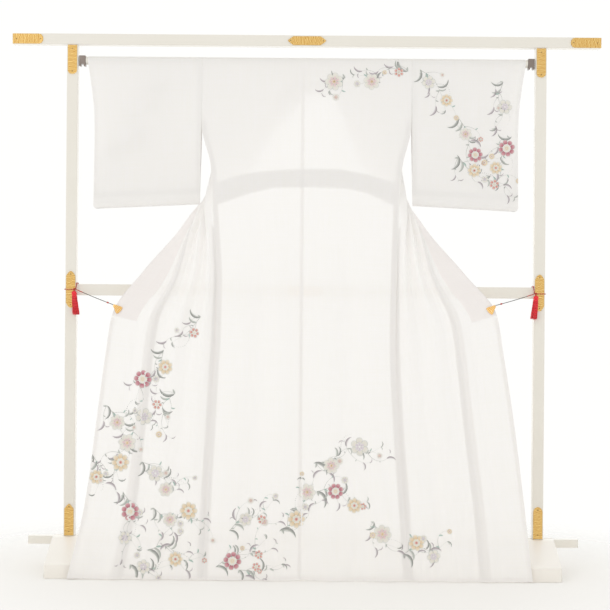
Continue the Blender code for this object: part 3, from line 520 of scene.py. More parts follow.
@dataclass(frozen=True)
class Drape:
    """Where the cloth hangs: the fronts by cloth width u and cloth length v, the backs by share q and height z."""

    ripple: float = 0.0011

    def front(self, side: Side, u: Points, v: Points) -> Points:
        """Points of the front sheet.

        Args:
            side: Which half.
            u: Metres of cloth from the side seam.
            v: Metres of cloth below the rod.

        Returns:
            Points in the row frame.
        """
        u, v = np.broadcast_arrays(np.asarray(u, float), np.asarray(v, float))
        shape, u, v = u.shape, u.ravel(), v.ravel()
        row = smooth_columns(FRONTS[side], v)
        a, b, f, fold = row[:, 0:3], row[:, 3:6], row[:, 6:9], row[:, 9]
        uc, uf = width_at(v, SEAM_WIDTHS), width_at(v, FULL_WIDTHS)
        share = np.minimum(u / uc, 1.0)[:, None]
        chord = (b - a)[:, :2]
        chord = chord / np.maximum(np.linalg.norm(chord, axis=1, keepdims=True), 1e-9)
        normal = np.column_stack([chord[:, 1], -chord[:, 0], np.zeros(len(u))])
        lobe = np.sin(math.pi * LOBES * share) ** 2 * fold[:, None] * (1 - 0.25 * share)
        inner = a + (b - a) * share + normal * lobe
        outer = b + (f - b) * ((u - uc) / (uf - uc))[:, None]
        p = np.where((u <= uc)[:, None], inner, outer)
        calm = eased(v, 0.10, 0.35)
        p[:, 1] += self.ripple * calm * (np.sin(47 * u + 3 * v) * np.sin(9.0 * v) + 0.5 * np.sin(88 * u - 7 * v + 1))
        p[:, 0] *= side.value
        p[:, 1] += SHIFT_Y
        return p.reshape(*shape, 3)

    def edge_x(self, side: Side, z: Points) -> Points:
        """Outward distance of the back's side edge at heights z.

        Args:
            side: Which half.
            z: Heights.

        Returns:
            The distances.
        """
        rows = tuple((r[3], r[1]) for r in FRONTS[side][::-1])
        found = smooth_columns(rows, np.clip(z, HEM_Z, ROD_Z))[:, 0]
        return np.where(np.asarray(z) >= ROD_Z, TOP_X[side], found)

    def back(self, side: Side, q: Points, z: Points) -> Points:
        """Points of the back panel: q runs from the side edge to the centre seam, z is the height.

        Args:
            side: Which half.
            q: Share of the way from the side edge to the centre seam.
            z: Heights.

        Returns:
            Points in the row frame.
        """
        q, z = np.broadcast_arrays(np.asarray(q, float), np.asarray(z, float))
        shape, q, z = q.shape, q.ravel(), z.ravel()
        edge, seam = self.edge_x(side, z), side.value * CENTRE_X
        grow = np.clip((1.15 - z) / 0.6, 0.0, 1.0)
        calm = eased(ROD_Z - z, 0.10, 0.45) * eased(q, 0.0, 0.08) * eased(1 - q, 0.0, 0.08)
        y = -WRAP_R - SLOPE * (ROD_Z - z) - (0.002 + 0.009 * grow) * np.sin(math.pi * 2 * q) ** 2
        y -= self.ripple * calm * (1 + np.sin(33 * q * 0.3 + 2.5 * z) * np.sin(7 * z) + 0.5 * np.sin(70 * q * 0.3))
        p = np.column_stack([side.value * (edge + (seam - edge) * q), y + SHIFT_Y, z])
        return p.reshape(*shape, 3)

    def normals(self, grid: Points) -> Points:
        """Unit normals of a grid of points, towards the viewer's side where it hangs upright.

        Args:
            grid: Rows of points.

        Returns:
            One normal per point.
        """
        along, across = np.gradient(grid, axis=0), np.gradient(grid, axis=1)
        normal = np.cross(along, across)
        normal /= np.maximum(np.linalg.norm(normal, axis=2, keepdims=True), 1e-12)
        return normal


DRAPE = Drape()


def plain_mesh(name: str, verts: Points, faces: Faces, uv: Points | None = None, edges: Faces = ()) -> Mesh:
    """A smooth-shaded mesh; the coordinate pairs, one per point, go into the map "cloth".

    Args:
        name: The mesh's name.
        verts: Points.
        faces: Corner numbers of each face.
        uv: One coordinate pair per point.
        edges: Point numbers of loose edges.

    Returns:
        The mesh.
    """
    mesh = bpy.data.meshes.new(name)
    mesh.from_pydata(np.asarray(verts, float).reshape(-1, 3).tolist(), edges, [tuple(map(int, f)) for f in faces])
    if uv is not None:
        index = np.zeros(len(mesh.loops), int)
        mesh.loops.foreach_get("vertex_index", index)
        pair = np.asarray(uv, float).reshape(-1, 2)[index]
        mesh.uv_layers.new(name="cloth").data.foreach_set("uv", pair.ravel())
    mesh.polygons.foreach_set("use_smooth", [True] * len(mesh.polygons))
    mesh.update()
    return mesh


def loose_object(name: str, data: bpy.types.ID) -> Object:
    """Put new data into the scene; helpers for node trees are removed after use.

    Args:
        name: The object's name.
        data: Its mesh, light or camera.

    Returns:
        The object.
    """
    obj = bpy.data.objects.new(name, data)
    bpy.context.scene.collection.objects.link(obj)
    return obj


def riding(name: str, mesh: Mesh) -> Object:
    """Put a mesh into the scene as a piece that rides on the stand.

    Args:
        name: Piece name.
        mesh: Its mesh.

    Returns:
        The object.
    """
    obj = loose_object(name, mesh)
    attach(obj, "root")
    return obj


def mesh_object(name: str, verts: Points, faces: Faces, uv: Points | None = None,
                materials: tuple[Material, ...] = (), slots: list[int] | None = None) -> Object:
    """Make a piece at the origin.

    Args:
        name: Piece name.
        verts: Points in the row frame.
        faces: Corner numbers of each face.
        uv: One coordinate pair per point.
        materials: Materials in slot order.
        slots: Material slot of each face.

    Returns:
        The object.
    """
    mesh = plain_mesh(name, verts, faces, uv)
    for mat in materials:
        mesh.materials.append(mat)
    if slots is not None:
        mesh.polygons.foreach_set("material_index", slots)
    return riding(name, mesh)


def add_rim(obj: Object, values: Points) -> None:
    """Keep each point's distance to the edge, in millimetres, as the attribute "rim"."""
    obj.data.attributes.new("rim", "FLOAT", "POINT").data.foreach_set("value", values)


def outward(obj: Object, sharp: float) -> None:
    """Turn a closed mesh's faces outward and keep the edges sharp that turn by more than some degrees.

    Args:
        obj: The piece.
        sharp: The angle in degrees.
    """
    mesh = bmesh.new()
    mesh.from_mesh(obj.data)
    bmesh.ops.recalc_face_normals(mesh, faces=mesh.faces)
    for edge in mesh.edges:
        if len(edge.link_faces) == 2 and edge.calc_face_angle(0.0) > math.radians(sharp):
            edge.smooth = False
    mesh.to_mesh(obj.data)
    mesh.free()


def grid_faces(rows: int, columns: int, start: int = 0, closed: bool = False) -> Faces:
    """Quads of a grid of points stored row by row; closed joins the last column to the first.

    Args:
        rows: Rows of points.
        columns: Points in a row.
        start: Number of the first point.
        closed: Join the last column to the first.

    Returns:
        Corner numbers of each face.
    """
    faces = []
    for r in range(rows - 1):
        a, b = start + r * columns, start + (r + 1) * columns
        for c in range(columns if closed else columns - 1):
            d = (c + 1) % columns
            faces.append((a + c, b + c, b + d, a + d))
    return faces


def slab_faces(rows: int, columns: int) -> Faces:
    """Faces of a slab: two grids of points, one stored after the other, joined along all four edges.

    Args:
        rows: Rows of points.
        columns: Points in a row.

    Returns:
        Corner numbers of each face.
    """
    back, last = rows * columns, (rows - 1) * columns
    faces = grid_faces(rows, columns)
    faces += [tuple(back + i for i in f)[::-1] for f in faces]
    edges = [(k, k + 1) for k in range(columns - 1)] + [(last + k + 1, last + k) for k in range(columns - 1)]
    for a in range(0, last, columns):
        edges += [(a + columns, a), (a + columns - 1, a + 2 * columns - 1)]
    return faces + [(a, b, back + b, back + a) for a, b in edges]


@dataclass
class Plies:
    """Extra plies that lie on the cloth, such as seam allowances, collected into one piece."""

    verts: list = field(default_factory=list)
    faces: Faces = field(default_factory=list)

    def lay(self, grid: Points, lift: float) -> None:
        """Add one ply, a grid of points moved off the cloth by lift along y, away from the viewer.

        Args:
            grid: Rows of points on the cloth.
            lift: Distance from the cloth.
        """
        rows, columns = grid.shape[:2]
        self.faces += grid_faces(rows, columns, len(self.verts))
        self.verts += list((grid + np.array([0.0, lift, 0.0])).reshape(-1, 3))

    def build(self, name: str, mat: Material) -> Object:
        """Make the piece, its UV map seen along y."""
        verts = np.array(self.verts)
        return mesh_object(name, verts, self.faces, verts[:, [0, 2]], (mat,))


def tube(path: Points, radius: Points | float, sides: int = 12, closed: bool = False) -> tuple[Points, Faces, Points]:
    """A round tube along a path.

    Args:
        path: Centres of its rings.
        radius: One radius, or one for each ring.
        sides: Corners of a ring.
        closed: Join the last ring to the first.

    Returns:
        Points, faces, and a coordinate pair per point: round and along, in metres.
    """
    path = np.asarray(path, float)
    n = len(path)
    radii = np.broadcast_to(np.asarray(radius, float), (n,))
    along = np.roll(path, -1, axis=0) - np.roll(path, 1, axis=0) if closed else np.gradient(path, axis=0)
    along = along / np.linalg.norm(along, axis=1, keepdims=True)
    ref = np.array([0.0, 0.0, 1.0]) if abs(along[0, 2]) < 0.9 else np.array([0.0, 1.0, 0.0])
    verts, uv, length = [], [], 0.0
    for i in range(n):
        ref = ref - along[i] * float(np.dot(ref, along[i]))
        ref /= np.linalg.norm(ref)
        side = np.cross(along[i], ref)
        length += float(np.linalg.norm(path[i] - path[i - 1])) if i else 0.0
        for k in range(sides):
            t = 2 * math.pi * k / sides
            verts.append(path[i] + radii[i] * (math.cos(t) * ref + math.sin(t) * side))
            uv.append((radii[i] * min(t, 2 * math.pi - t), length))
    faces = []
    for i in range(n if closed else n - 1):
        a, b = i * sides, (i + 1) % n * sides
        faces += [(a + k, a + (k + 1) % sides, b + (k + 1) % sides, b + k) for k in range(sides)]
    if not closed:
        faces += [tuple(range(sides))[::-1], tuple((n - 1) * sides + k for k in range(sides))]
    return np.array(verts), faces, np.array(uv)


class NodeTool:
    """A Geometry Nodes tree with named inputs, run once on a source mesh and turned into a plain mesh."""

    def __init__(self, name: str, **kinds: str) -> None:
        """Make a tree with geometry in and out.

        Args:
            name: The tree's name.
            kinds: Kind of each further input, such as "Float", by its name.
        """
        self.tree = bpy.data.node_groups.new(name, "GeometryNodeTree")
        new = self.tree.interface.new_socket
        for way in ("INPUT", "OUTPUT"):
            new("Geometry", in_out=way, socket_type="NodeSocketGeometry")
        self.keys = {key: new(key, in_out="INPUT", socket_type="NodeSocket" + kind).identifier
                     for key, kind in kinds.items()}
        self.given = add(self.tree, "NodeGroupInput").outputs

    def shape(self, name: str) -> Socket:
        """Geometry of the object that is a named input."""
        return out(self.tree, "GeometryNodeObjectInfo", {"Object": self.given[name]}, "Geometry")

    def copies(self, points: Socket, shape: Socket, **values: Socket) -> Socket:
        """Copies of a shape on points; Rotation and Scale are values."""
        return out(self.tree, "GeometryNodeInstanceOnPoints", {"Points": points, "Instance": shape, **values})

    def finish(self, geometry: Socket, mat: Material) -> None:
        """End the tree in Realize Instances and Set Material."""
        real = out(self.tree, "GeometryNodeRealizeInstances", {0: geometry})
        add(self.tree, "NodeGroupOutput", {0: out(self.tree, "GeometryNodeSetMaterial", {0: real, "Material": mat})})

    def run(self, source: Mesh, **values: object) -> Mesh:
        """Evaluate the tree.

        Args:
            source: The tree's input mesh.
            values: Values of the named inputs; a mesh stands for a loose object of it.

        Returns:
            The plain mesh; the helper objects are removed.
        """
        made = {name: loose_object(name, value) for name, value in values.items() if isinstance(value, Mesh)}
        obj = loose_object(source.name, source)
        modifier = obj.modifiers.new("build", "NODES")
        modifier.node_group = self.tree
        for name, value in {**values, **made}.items():
            modifier[self.keys[name]] = value
        graph = bpy.context.evaluated_depsgraph_get()
        mesh = bpy.data.meshes.new_from_object(obj.evaluated_get(graph), depsgraph=graph)
        obj.modifiers.remove(modifier)
        for helper in (obj, *made.values()):
            bpy.data.objects.remove(helper)
        return mesh


@dataclass(frozen=True)
class Ring:
    """One ring of petals, in shares of the flower's radius; the lift off the cloth is in millimetres."""

    dye: str
    count: int
    start: float
    stop: float
    width: float
    notch: float
    lift: float

    def petal(self) -> tuple[Points, Faces, Points]:
        """One petal along x, toned from its root to its rim.

        Returns:
            Points, faces and a tone pair per point.
        """
        t = 0.5 - 0.5 * np.cos(np.linspace(0, np.pi, 7))
        half = self.width * np.sqrt(np.clip(1 - (2 * t ** 1.35 - 1) ** 2, 0.0004, 1.0))
        verts, tone = [], []
        for share, reach in zip(t, half):
            for across in (-1.0, -0.45, 0.45, 1.0):
                dip = self.notch * share ** 3 * (1 - abs(across))
                verts.append((self.start + (self.stop - self.start) * share - dip, across * reach, 0.0))
                tone.append((share, abs(across)))
        return np.array(verts), grid_faces(7, 4), np.array(tone)


BLOOMS = {
    "rose": (Ring("ash", 8, 0.38, 1.05, 0.30, 0.10, 0.36), Ring("crimson", 8, 0.42, 1.0, 0.27, 0.10, 0.42),
             Ring("ivory", 8, 0.05, 0.52, 0.17, 0.0, 0.48), Ring("ochre", 6, 0.08, 0.24, 0.07, 0.0, 0.54)),
    "sun": (Ring("ash", 8, 0.30, 1.04, 0.29, 0.05, 0.36), Ring("ochre", 8, 0.34, 1.0, 0.26, 0.05, 0.42),
            Ring("ivory", 7, 0.05, 0.50, 0.18, 0.0, 0.48), Ring("coral", 5, 0.0, 0.20, 0.10, 0.0, 0.54)),
    "moon": (Ring("ash", 7, 0.24, 1.03, 0.33, 0.10, 0.36), Ring("ivory", 7, 0.28, 0.98, 0.30, 0.10, 0.42),
             Ring("pink", 7, 0.14, 0.62, 0.14, 0.0, 0.48), Ring("ochre", 6, 0.0, 0.22, 0.11, 0.0, 0.54)),
    "spark": (Ring("ash", 6, 0.34, 1.05, 0.32, 0.12, 0.36), Ring("coral", 6, 0.40, 0.98, 0.28, 0.12, 0.42),
              Ring("ivory", 6, 0.0, 0.44, 0.17, 0.0, 0.48)),
    "mist": (Ring("ash", 6, 0.30, 1.03, 0.36, 0.0, 0.36), Ring("ivory", 6, 0.34, 0.96, 0.32, 0.0, 0.42),
             Ring("lavender", 6, 0.10, 0.55, 0.14, 0.0, 0.48)),
}


@dataclass(frozen=True)
class Spray:
    """A painted spray: main stem in x and z, side shoots and their reach, kinds of flowers in order."""

    stem: tuple[tuple[float, float], ...]
    shoots: int
    reach: float
    flowers: tuple[str, ...]
    seed: int
    behind: bool = False


SPRAYS = (
    Spray(((0.315, 1.560), (0.262, 1.568), (0.205, 1.545), (0.150, 1.548)), 6, 0.058, ("spark", "moon"), 3),
    Spray(((0.120, 1.540), (0.095, 1.512), (0.072, 1.498)), 3, 0.050, ("moon",), 4),
    Spray(((0.352, 1.566), (0.392, 1.538), (0.418, 1.490), (0.432, 1.440)), 6, 0.060, ("mist", "sun"), 5),
    Spray(((0.470, 1.420), (0.500, 1.372), (0.512, 1.318), (0.556, 1.285)), 6, 0.066, ("moon", "rose"), 6),
    Spray(((0.612, 1.530), (0.598, 1.480), (0.612, 1.430), (0.592, 1.390)), 5, 0.058, ("mist",), 8),
    Spray(((0.640, 1.360), (0.605, 1.325), (0.612, 1.275), (0.575, 1.238)), 6, 0.066, ("rose", "sun"), 9),
    Spray(((0.470, 1.300), (0.500, 1.262), (0.550, 1.230), (0.612, 1.212), (0.650, 1.172)),
          7, 0.064, ("sun", "spark"), 13),
    Spray(((-0.318, 0.792), (-0.360, 0.742), (-0.402, 0.715)), 5, 0.070, ("spark",), 16),
    Spray(((-0.430, 0.690), (-0.446, 0.632), (-0.492, 0.592), (-0.512, 0.535)), 6, 0.082, ("sun", "rose"), 17),
    Spray(((-0.600, 0.520), (-0.560, 0.482), (-0.520, 0.500), (-0.462, 0.462)), 6, 0.078, ("moon", "mist"), 19),
    Spray(((-0.392, 0.560), (-0.430, 0.520), (-0.412, 0.462)), 5, 0.066, ("spark",), 21),
    Spray(((-0.512, 0.470), (-0.530, 0.402), (-0.570, 0.362), (-0.560, 0.300)), 7, 0.084, ("moon", "sun"), 23),
    Spray(((-0.640, 0.372), (-0.612, 0.318), (-0.630, 0.255)), 4, 0.060, ("sun",), 25),
    Spray(((-0.490, 0.352), (-0.440, 0.330), (-0.402, 0.282), (-0.352, 0.290)), 6, 0.074, ("mist", "moon"), 29),
    Spray(((-0.545, 0.262), (-0.510, 0.205), (-0.530, 0.150), (-0.500, 0.092)), 7, 0.084, ("rose", "mist"), 31),
    Spray(((-0.452, 0.215), (-0.402, 0.180), (-0.352, 0.192), (-0.312, 0.152)), 6, 0.080, ("moon", "sun"), 33),
    Spray(((-0.470, 0.090), (-0.412, 0.102), (-0.360, 0.062), (-0.300, 0.072)), 6, 0.078, ("sun",), 37),
    Spray(((-0.520, 0.046), (-0.462, 0.030), (-0.402, 0.046)), 4, 0.056, ("mist",), 38),
    Spray(((-0.262, 0.042), (-0.212, 0.078), (-0.160, 0.082), (-0.112, 0.126)), 6, 0.076, ("rose", "spark"), 41),
    Spray(((-0.222, 0.150), (-0.180, 0.192), (-0.132, 0.196), (-0.092, 0.240)), 6, 0.074, ("mist", "spark"), 43),
    Spray(((-0.072, 0.150), (-0.026, 0.182), (0.000, 0.236), (0.004, 0.300)), 7, 0.078, ("sun", "moon"), 45),
    Spray(((0.030, 0.352), (0.082, 0.362), (0.130, 0.396), (0.190, 0.382), (0.232, 0.402)),
          7, 0.066, ("moon", "mist"), 47),
    Spray(((0.040, 0.268), (0.096, 0.280), (0.132, 0.240), (0.190, 0.238)), 6, 0.072, ("rose", "sun"), 53),
    Spray(((0.212, 0.180), (0.232, 0.126), (0.282, 0.102)), 5, 0.066, ("moon",), 59),
    Spray(((0.300, 0.082), (0.342, 0.106), (0.392, 0.092), (0.432, 0.122)), 6, 0.060, ("sun", "mist"), 61),
    Spray(((-0.192, 0.034), (-0.130, 0.030), (-0.066, 0.052)), 5, 0.050, ("spark",), 63),
    Spray(((-0.455, 1.520), (-0.480, 1.460), (-0.525, 1.420)), 6, 0.070, ("mist", "moon"), 67, True),
    Spray(((-0.500, 1.380), (-0.545, 1.340), (-0.590, 1.300), (-0.600, 1.240)), 6, 0.070, ("moon", "mist"), 69, True),
)


@dataclass
class Design:
    """The hand-dyed design: sprays drawn flat, laid on the nearest cloth, on both faces as dye soaks through.

    Lines and leaves lie off the cloth by their lifts in millimetres; faces across a jump in depth are left out.
    """

    cloth: list
    drawn: list = field(default_factory=list)
    dyes: dict = field(default_factory=dict)
    leaf_tool: NodeTool | None = None
    ring_tool: NodeTool | None = None
    line_lift: float = 0.24
    leaf_lift: float = 0.30
    jump: float = 0.012

    def leaves_tree(self) -> NodeTool:
        """Geometry Nodes: leaves on alternate sides of stems, smaller to the tips.

        Returns:
            The tree, ready to run.
        """
        tool = NodeTool("leaves along stems", Leaf="Object", Spacing="Float", Size="Float", Spread="Float", Seed="Int")
        tree, given = tool.tree, tool.given
        curve = out(tree, "GeometryNodeMeshToCurve", {"Mesh": given["Geometry"]})
        spots = out(tree, "GeometryNodeResampleCurve", {"Curve": curve, "Length": given["Spacing"]}, mode="LENGTH")
        way = add(tree, "ShaderNodeSeparateXYZ", {0: out(tree, "GeometryNodeInputTangent")}).outputs
        heading = maths(tree, "ARCTAN2", way["Y"], way["X"])
        odd = maths(tree, "MODULO", out(tree, "GeometryNodeInputIndex"), 2.0)
        sign = maths(tree, "MULTIPLY_ADD", odd, 2.0, -1.0)
        lean = maths(tree, "MULTIPLY_ADD", sign, given["Spread"], heading)
        turn = maths(tree, "ADD", lean, chance(tree, -0.3, 0.3, given["Seed"]))
        less = remap(tree, out(tree, "GeometryNodeSplineParameter", socket="Factor"), wanted=(1.0, 0.45))
        size = maths(tree, "MULTIPLY", less, chance(tree, 0.65, 1.1, given["Seed"]))
        size = maths(tree, "MULTIPLY", size, given["Size"])
        scale = vector(tree, X=size, Y=maths(tree, "MULTIPLY", size, sign), Z=size)
        leaves = tool.copies(spots, tool.shape("Leaf"), Rotation=vector(tree, Z=turn), Scale=scale)
        tool.finish(leaves, self.dyes["ink"])
        return tool

    def rings_tree(self) -> NodeTool:
        """Geometry Nodes: a ring of petals round each flower's middle.

        Returns:
            The tree, ready to run.
        """
        tool = NodeTool("petals round flowers", Petal="Object", Count="Int")
        tree, given = tool.tree, tool.given
        spots = out(tree, "GeometryNodeMeshLine", {"Count": given["Count"], "Offset": (0.0, 0.0, 0.0)})
        step = maths(tree, "DIVIDE", 2 * math.pi, given["Count"])
        angle = maths(tree, "MULTIPLY", out(tree, "GeometryNodeInputIndex"), step)
        ring = tool.copies(spots, tool.shape("Petal"), Rotation=vector(tree, Z=angle))
        radius, turn = (out(tree, "GeometryNodeInputNamedAttribute", {"Name": name}, data_type="FLOAT")
                        for name in ("radius", "turn"))
        flowers = tool.copies(given["Geometry"], ring, Rotation=vector(tree, Z=turn), Scale=radius)
        tool.finish(flowers, self.dyes["ink"])
        return tool

    def keep(self, mesh: Mesh, dye: str, lift: float, behind: bool) -> None:
        """Take over a flat drawing made by a node tree.

        Args:
            mesh: What the tree made.
            dye: Name of its dye.
            lift: Millimetres off the cloth.
            behind: On the cloth's far side.
        """
        verts = np.array([v.co[:2] for v in mesh.vertices])
        faces = [tuple(p.vertices) for p in mesh.polygons]
        tone = np.zeros((len(verts), 2))
        for loop, item in zip(mesh.loops, mesh.uv_layers["cloth"].data):
            tone[loop.vertex_index] = item.uv
        bpy.data.meshes.remove(mesh)
        self.drawn.append((verts, faces, tone, dye, lift, behind))

    def ribbon(self, path: Points, wide: float, dye: str, lift: float, behind: bool) -> None:
        """A brushed line that thins out to its end.

        Args:
            path: Its middle line.
            wide: Width at its start.
            dye: Name of its dye.
            lift: Millimetres off the cloth.
            behind: On the cloth's far side.
        """
        along = np.gradient(path, axis=0)
        along /= np.maximum(np.linalg.norm(along, axis=1, keepdims=True), 1e-9)
        side = np.column_stack([-along[:, 1], along[:, 0]])
        half = wide / 2 * np.linspace(1, 0.35, len(path))[:, None]
        verts = np.stack([path - side * half, path + side * half], axis=1).reshape(-1, 2)
        tone = np.column_stack([np.repeat(np.linspace(0.0, 0.8, len(path)), 2), np.tile([0.0, 1.0], len(path))])
        self.drawn.append((verts, grid_faces(len(path), 2), tone, dye, lift, behind))

    def shoots(self, spray: Spray, path: Points, rng: np.random.Generator) -> list:
        """Side shoots that curl away from a stem, on alternate sides.

        Args:
            spray: The spray.
            path: Its main stem.
            rng: Where its draws come from.

        Returns:
            The shoots' paths.
        """
        found = []
        for k in range(spray.shoots):
            at = int((0.04 + 0.94 * (k + rng.uniform(-0.25, 0.25)) / spray.shoots) * (len(path) - 2)) % (len(path) - 1)
            way = path[at + 1] - path[at]
            sign = 1 if k % 2 else -1
            heading = math.atan2(way[1], way[0]) + sign * rng.uniform(0.6, 1.3)
            length = spray.reach * rng.uniform(0.6, 1.35)
            bend = -sign * rng.uniform(0.8, 2.8)
            t = np.linspace(0, 1, 13)
            turn = heading + bend * t ** 1.4
            step = np.column_stack([np.cos(turn), np.sin(turn)]) * length / 12
            found.append(path[at] + np.cumsum(step, axis=0) - step[0])
        return found

    def leaves(self, paths: list, dye: str, shape: tuple[float, float], spacing: float, size: float, spread: float,
               seed: int, behind: bool) -> None:
        """Leaves or dots along several paths.

        Args:
            paths: The stems.
            dye: Name of the dye.
            shape: Width as a share of the length, and bend in radians.
            spacing: Distance between leaves.
            size: Length of the largest.
            spread: Angle off the stem.
            seed: Seed of the trees' draws.
            behind: On the cloth's far side.
        """
        t = np.linspace(0, 1, 9)
        wide, bend = shape
        half = wide / 2 * np.sin(np.pi * t ** 0.8) ** 0.8
        rows = [[((math.sin(bend * x) - e * h * bend * math.sin(bend * x)) / bend,
                  (1 - math.cos(bend * x)) / bend + e * h * math.cos(bend * x), 0.0) for e in (-1, 0, 1)]
                for x, h in zip(t, half)]
        leaf = plain_mesh("leaf", rows, grid_faces(9, 3), pairs(np.array([0.0, 0.45, 1.0]), t[:, None]))
        verts, edges = [], []
        for path in paths:
            edges += [(len(verts) + k, len(verts) + k + 1) for k in range(len(path) - 1)]
            verts += [(x, y, 0.0) for x, y in path]
        stems = plain_mesh("stems", verts, [], edges=edges)
        mesh = self.leaf_tool.run(stems, Leaf=leaf, Spacing=spacing, Size=size, Spread=spread, Seed=seed)
        self.keep(mesh, dye, self.leaf_lift, behind)

    def flowers(self, kind: str, spots: list, behind: bool) -> None:
        """All flowers of one kind, ring by ring.

        Args:
            kind: A name in BLOOMS.
            spots: x, z, radius and turn of each.
            behind: On the cloth's far side.
        """
        for ring in BLOOMS[kind]:
            verts, faces, tone = ring.petal()
            source = plain_mesh("flowers", [(x, z, 0.0) for x, z, _, _ in spots], [])
            for name, column in (("radius", 2), ("turn", 3)):
                layer = source.attributes.new(name, "FLOAT", "POINT")
                layer.data.foreach_set("value", [spot[column] for spot in spots])
            mesh = self.ring_tool.run(source, Petal=plain_mesh("petal", verts, faces, tone), Count=ring.count)
            self.keep(mesh, ring.dye, ring.lift, behind)

    def draw(self) -> None:
        """Draw all sprays flat, in x and z."""
        spots: dict = {}
        for spray in SPRAYS:
            rng = np.random.default_rng(spray.seed)
            path = smooth_path(np.array(spray.stem), 0.007)
            far, shoots = spray.behind, self.shoots(spray, path, rng)
            self.ribbon(path, 0.0013, "ash", self.line_lift, far)
            self.leaves([path], "ink", (0.15, 2.1), 0.058, 0.060, 0.25, spray.seed, far)
            self.leaves([path[3:]], "ash", (0.20, 1.7), 0.047, 0.040, 0.40, spray.seed + 1, far)
            for k, shoot in enumerate(shoots):
                if k % 4 == 3:
                    self.leaves([shoot], "ink", (0.8, 0.1), 0.0062, 0.0031, 0.0, k, far)
                else:
                    self.ribbon(shoot, 0.0011, "ash", self.line_lift, far)
            tips = [shoot[-4:] for shoot in shoots[::2]]
            self.leaves(tips, "mauve", (0.17, 1.8), 0.060, 0.040, 0.20, spray.seed + 2, far)
            for k, (dye, shape, size) in enumerate((("ash", (0.40, 0.6), 0.014), ("teal", (0.34, 0.8), 0.017),
                                                    ("ink", (0.34, 0.5), 0.010))):
                if shoots[k::4]:
                    self.leaves(shoots[k::4], dye, shape, 0.030, size, 0.85, spray.seed + k, far)
            for k, kind in enumerate(spray.flowers):
                at = (k + 0.6) / (len(spray.flowers) + 0.2)
                x, z = path[int(at * (len(path) - 1))]
                away, turn = rng.uniform(0, 2 * math.pi), rng.uniform(0, 2 * math.pi)
                radius = rng.uniform(0.019, 0.028) if kind != "spark" else rng.uniform(0.012, 0.018)
                spot = (x + 0.018 * math.cos(away), z + 0.018 * math.sin(away), radius, turn)
                spots.setdefault((kind, far), []).append(spot)
            for shoot in shoots[1::4]:
                x, z = shoot[-1]
                kind = ("spark", "mist", "sun", "moon")[int(rng.integers(4))]
                spots.setdefault((kind, far), []).append((x, z, rng.uniform(0.007, 0.011), rng.uniform(0, 6.0)))
        for (kind, far), found in spots.items():
            self.flowers(kind, found, far)

    def build(self) -> dict:
        """Lay the drawing on the cloth.

        Returns:
            The painted pieces of each cloth, by the cloth's name.
        """
        self.dyes = {name: dye.build() for name, dye in DYES.items()}
        self.leaf_tool, self.ring_tool = self.leaves_tree(), self.rings_tree()
        self.draw()
        trees = [BVHTree.FromPolygons([v.co for v in obj.data.vertices], [p.vertices for p in obj.data.polygons])
                 for obj in self.cloth]
        names = list(self.dyes)
        parts = [([], [], [], []) for _ in self.cloth]
        for points, faces, tone, dye, lift, behind in self.drawn:
            way = -1.0 if behind else 1.0
            hits = []
            for x, z in points:
                start, best = Vector((x, -way, z)), (9.0, -1)
                for k, tree in enumerate(trees):
                    place, _, _, far = tree.ray_cast(start, Vector((0.0, way, 0.0)), 2.0)
                    if place is not None and far < best[0]:
                        best = (far, k)
                hits.append(best)
            for k, (verts, kept, uvs, slots) in enumerate(parts):
                number = {}
                for i, (far, found) in enumerate(hits):
                    if found == k:
                        number[i] = len(verts) + 2 * len(number)
                for i in number:
                    y, (x, z) = way * (hits[i][0] - 1), points[i]
                    verts += [(x, y - lift / 1000, z), (x, y + lift / 1000, z)]
                    uvs += [tone[i], tone[i]]
                for face in faces:
                    depths = [hits[i][0] for i in face if i in number]
                    if len(depths) < len(face) or max(depths) - min(depths) > self.jump:
                        continue
                    a, b, c = (points[face[i]] for i in (0, 1, 2))
                    turned = (b[0] - a[0]) * (c[1] - a[1]) - (b[1] - a[1]) * (c[0] - a[0])
                    front = face if turned > 0 else face[::-1]
                    kept += [tuple(number[i] for i in front), tuple(number[i] + 1 for i in front[::-1])]
                    slots += [names.index(dye)] * 2
        made = {}
        for obj, (verts, kept, uvs, slots) in zip(self.cloth, parts):
            made[obj.name] = []
            if kept:
                name = obj.name.replace("silk", "painted")
                piece = mesh_object(name, verts, kept, np.array(uvs), tuple(self.dyes.values()), slots)
                made[obj.name].append(piece)
        log.info("painted design, %d flat drawings", len(self.drawn))
        return made


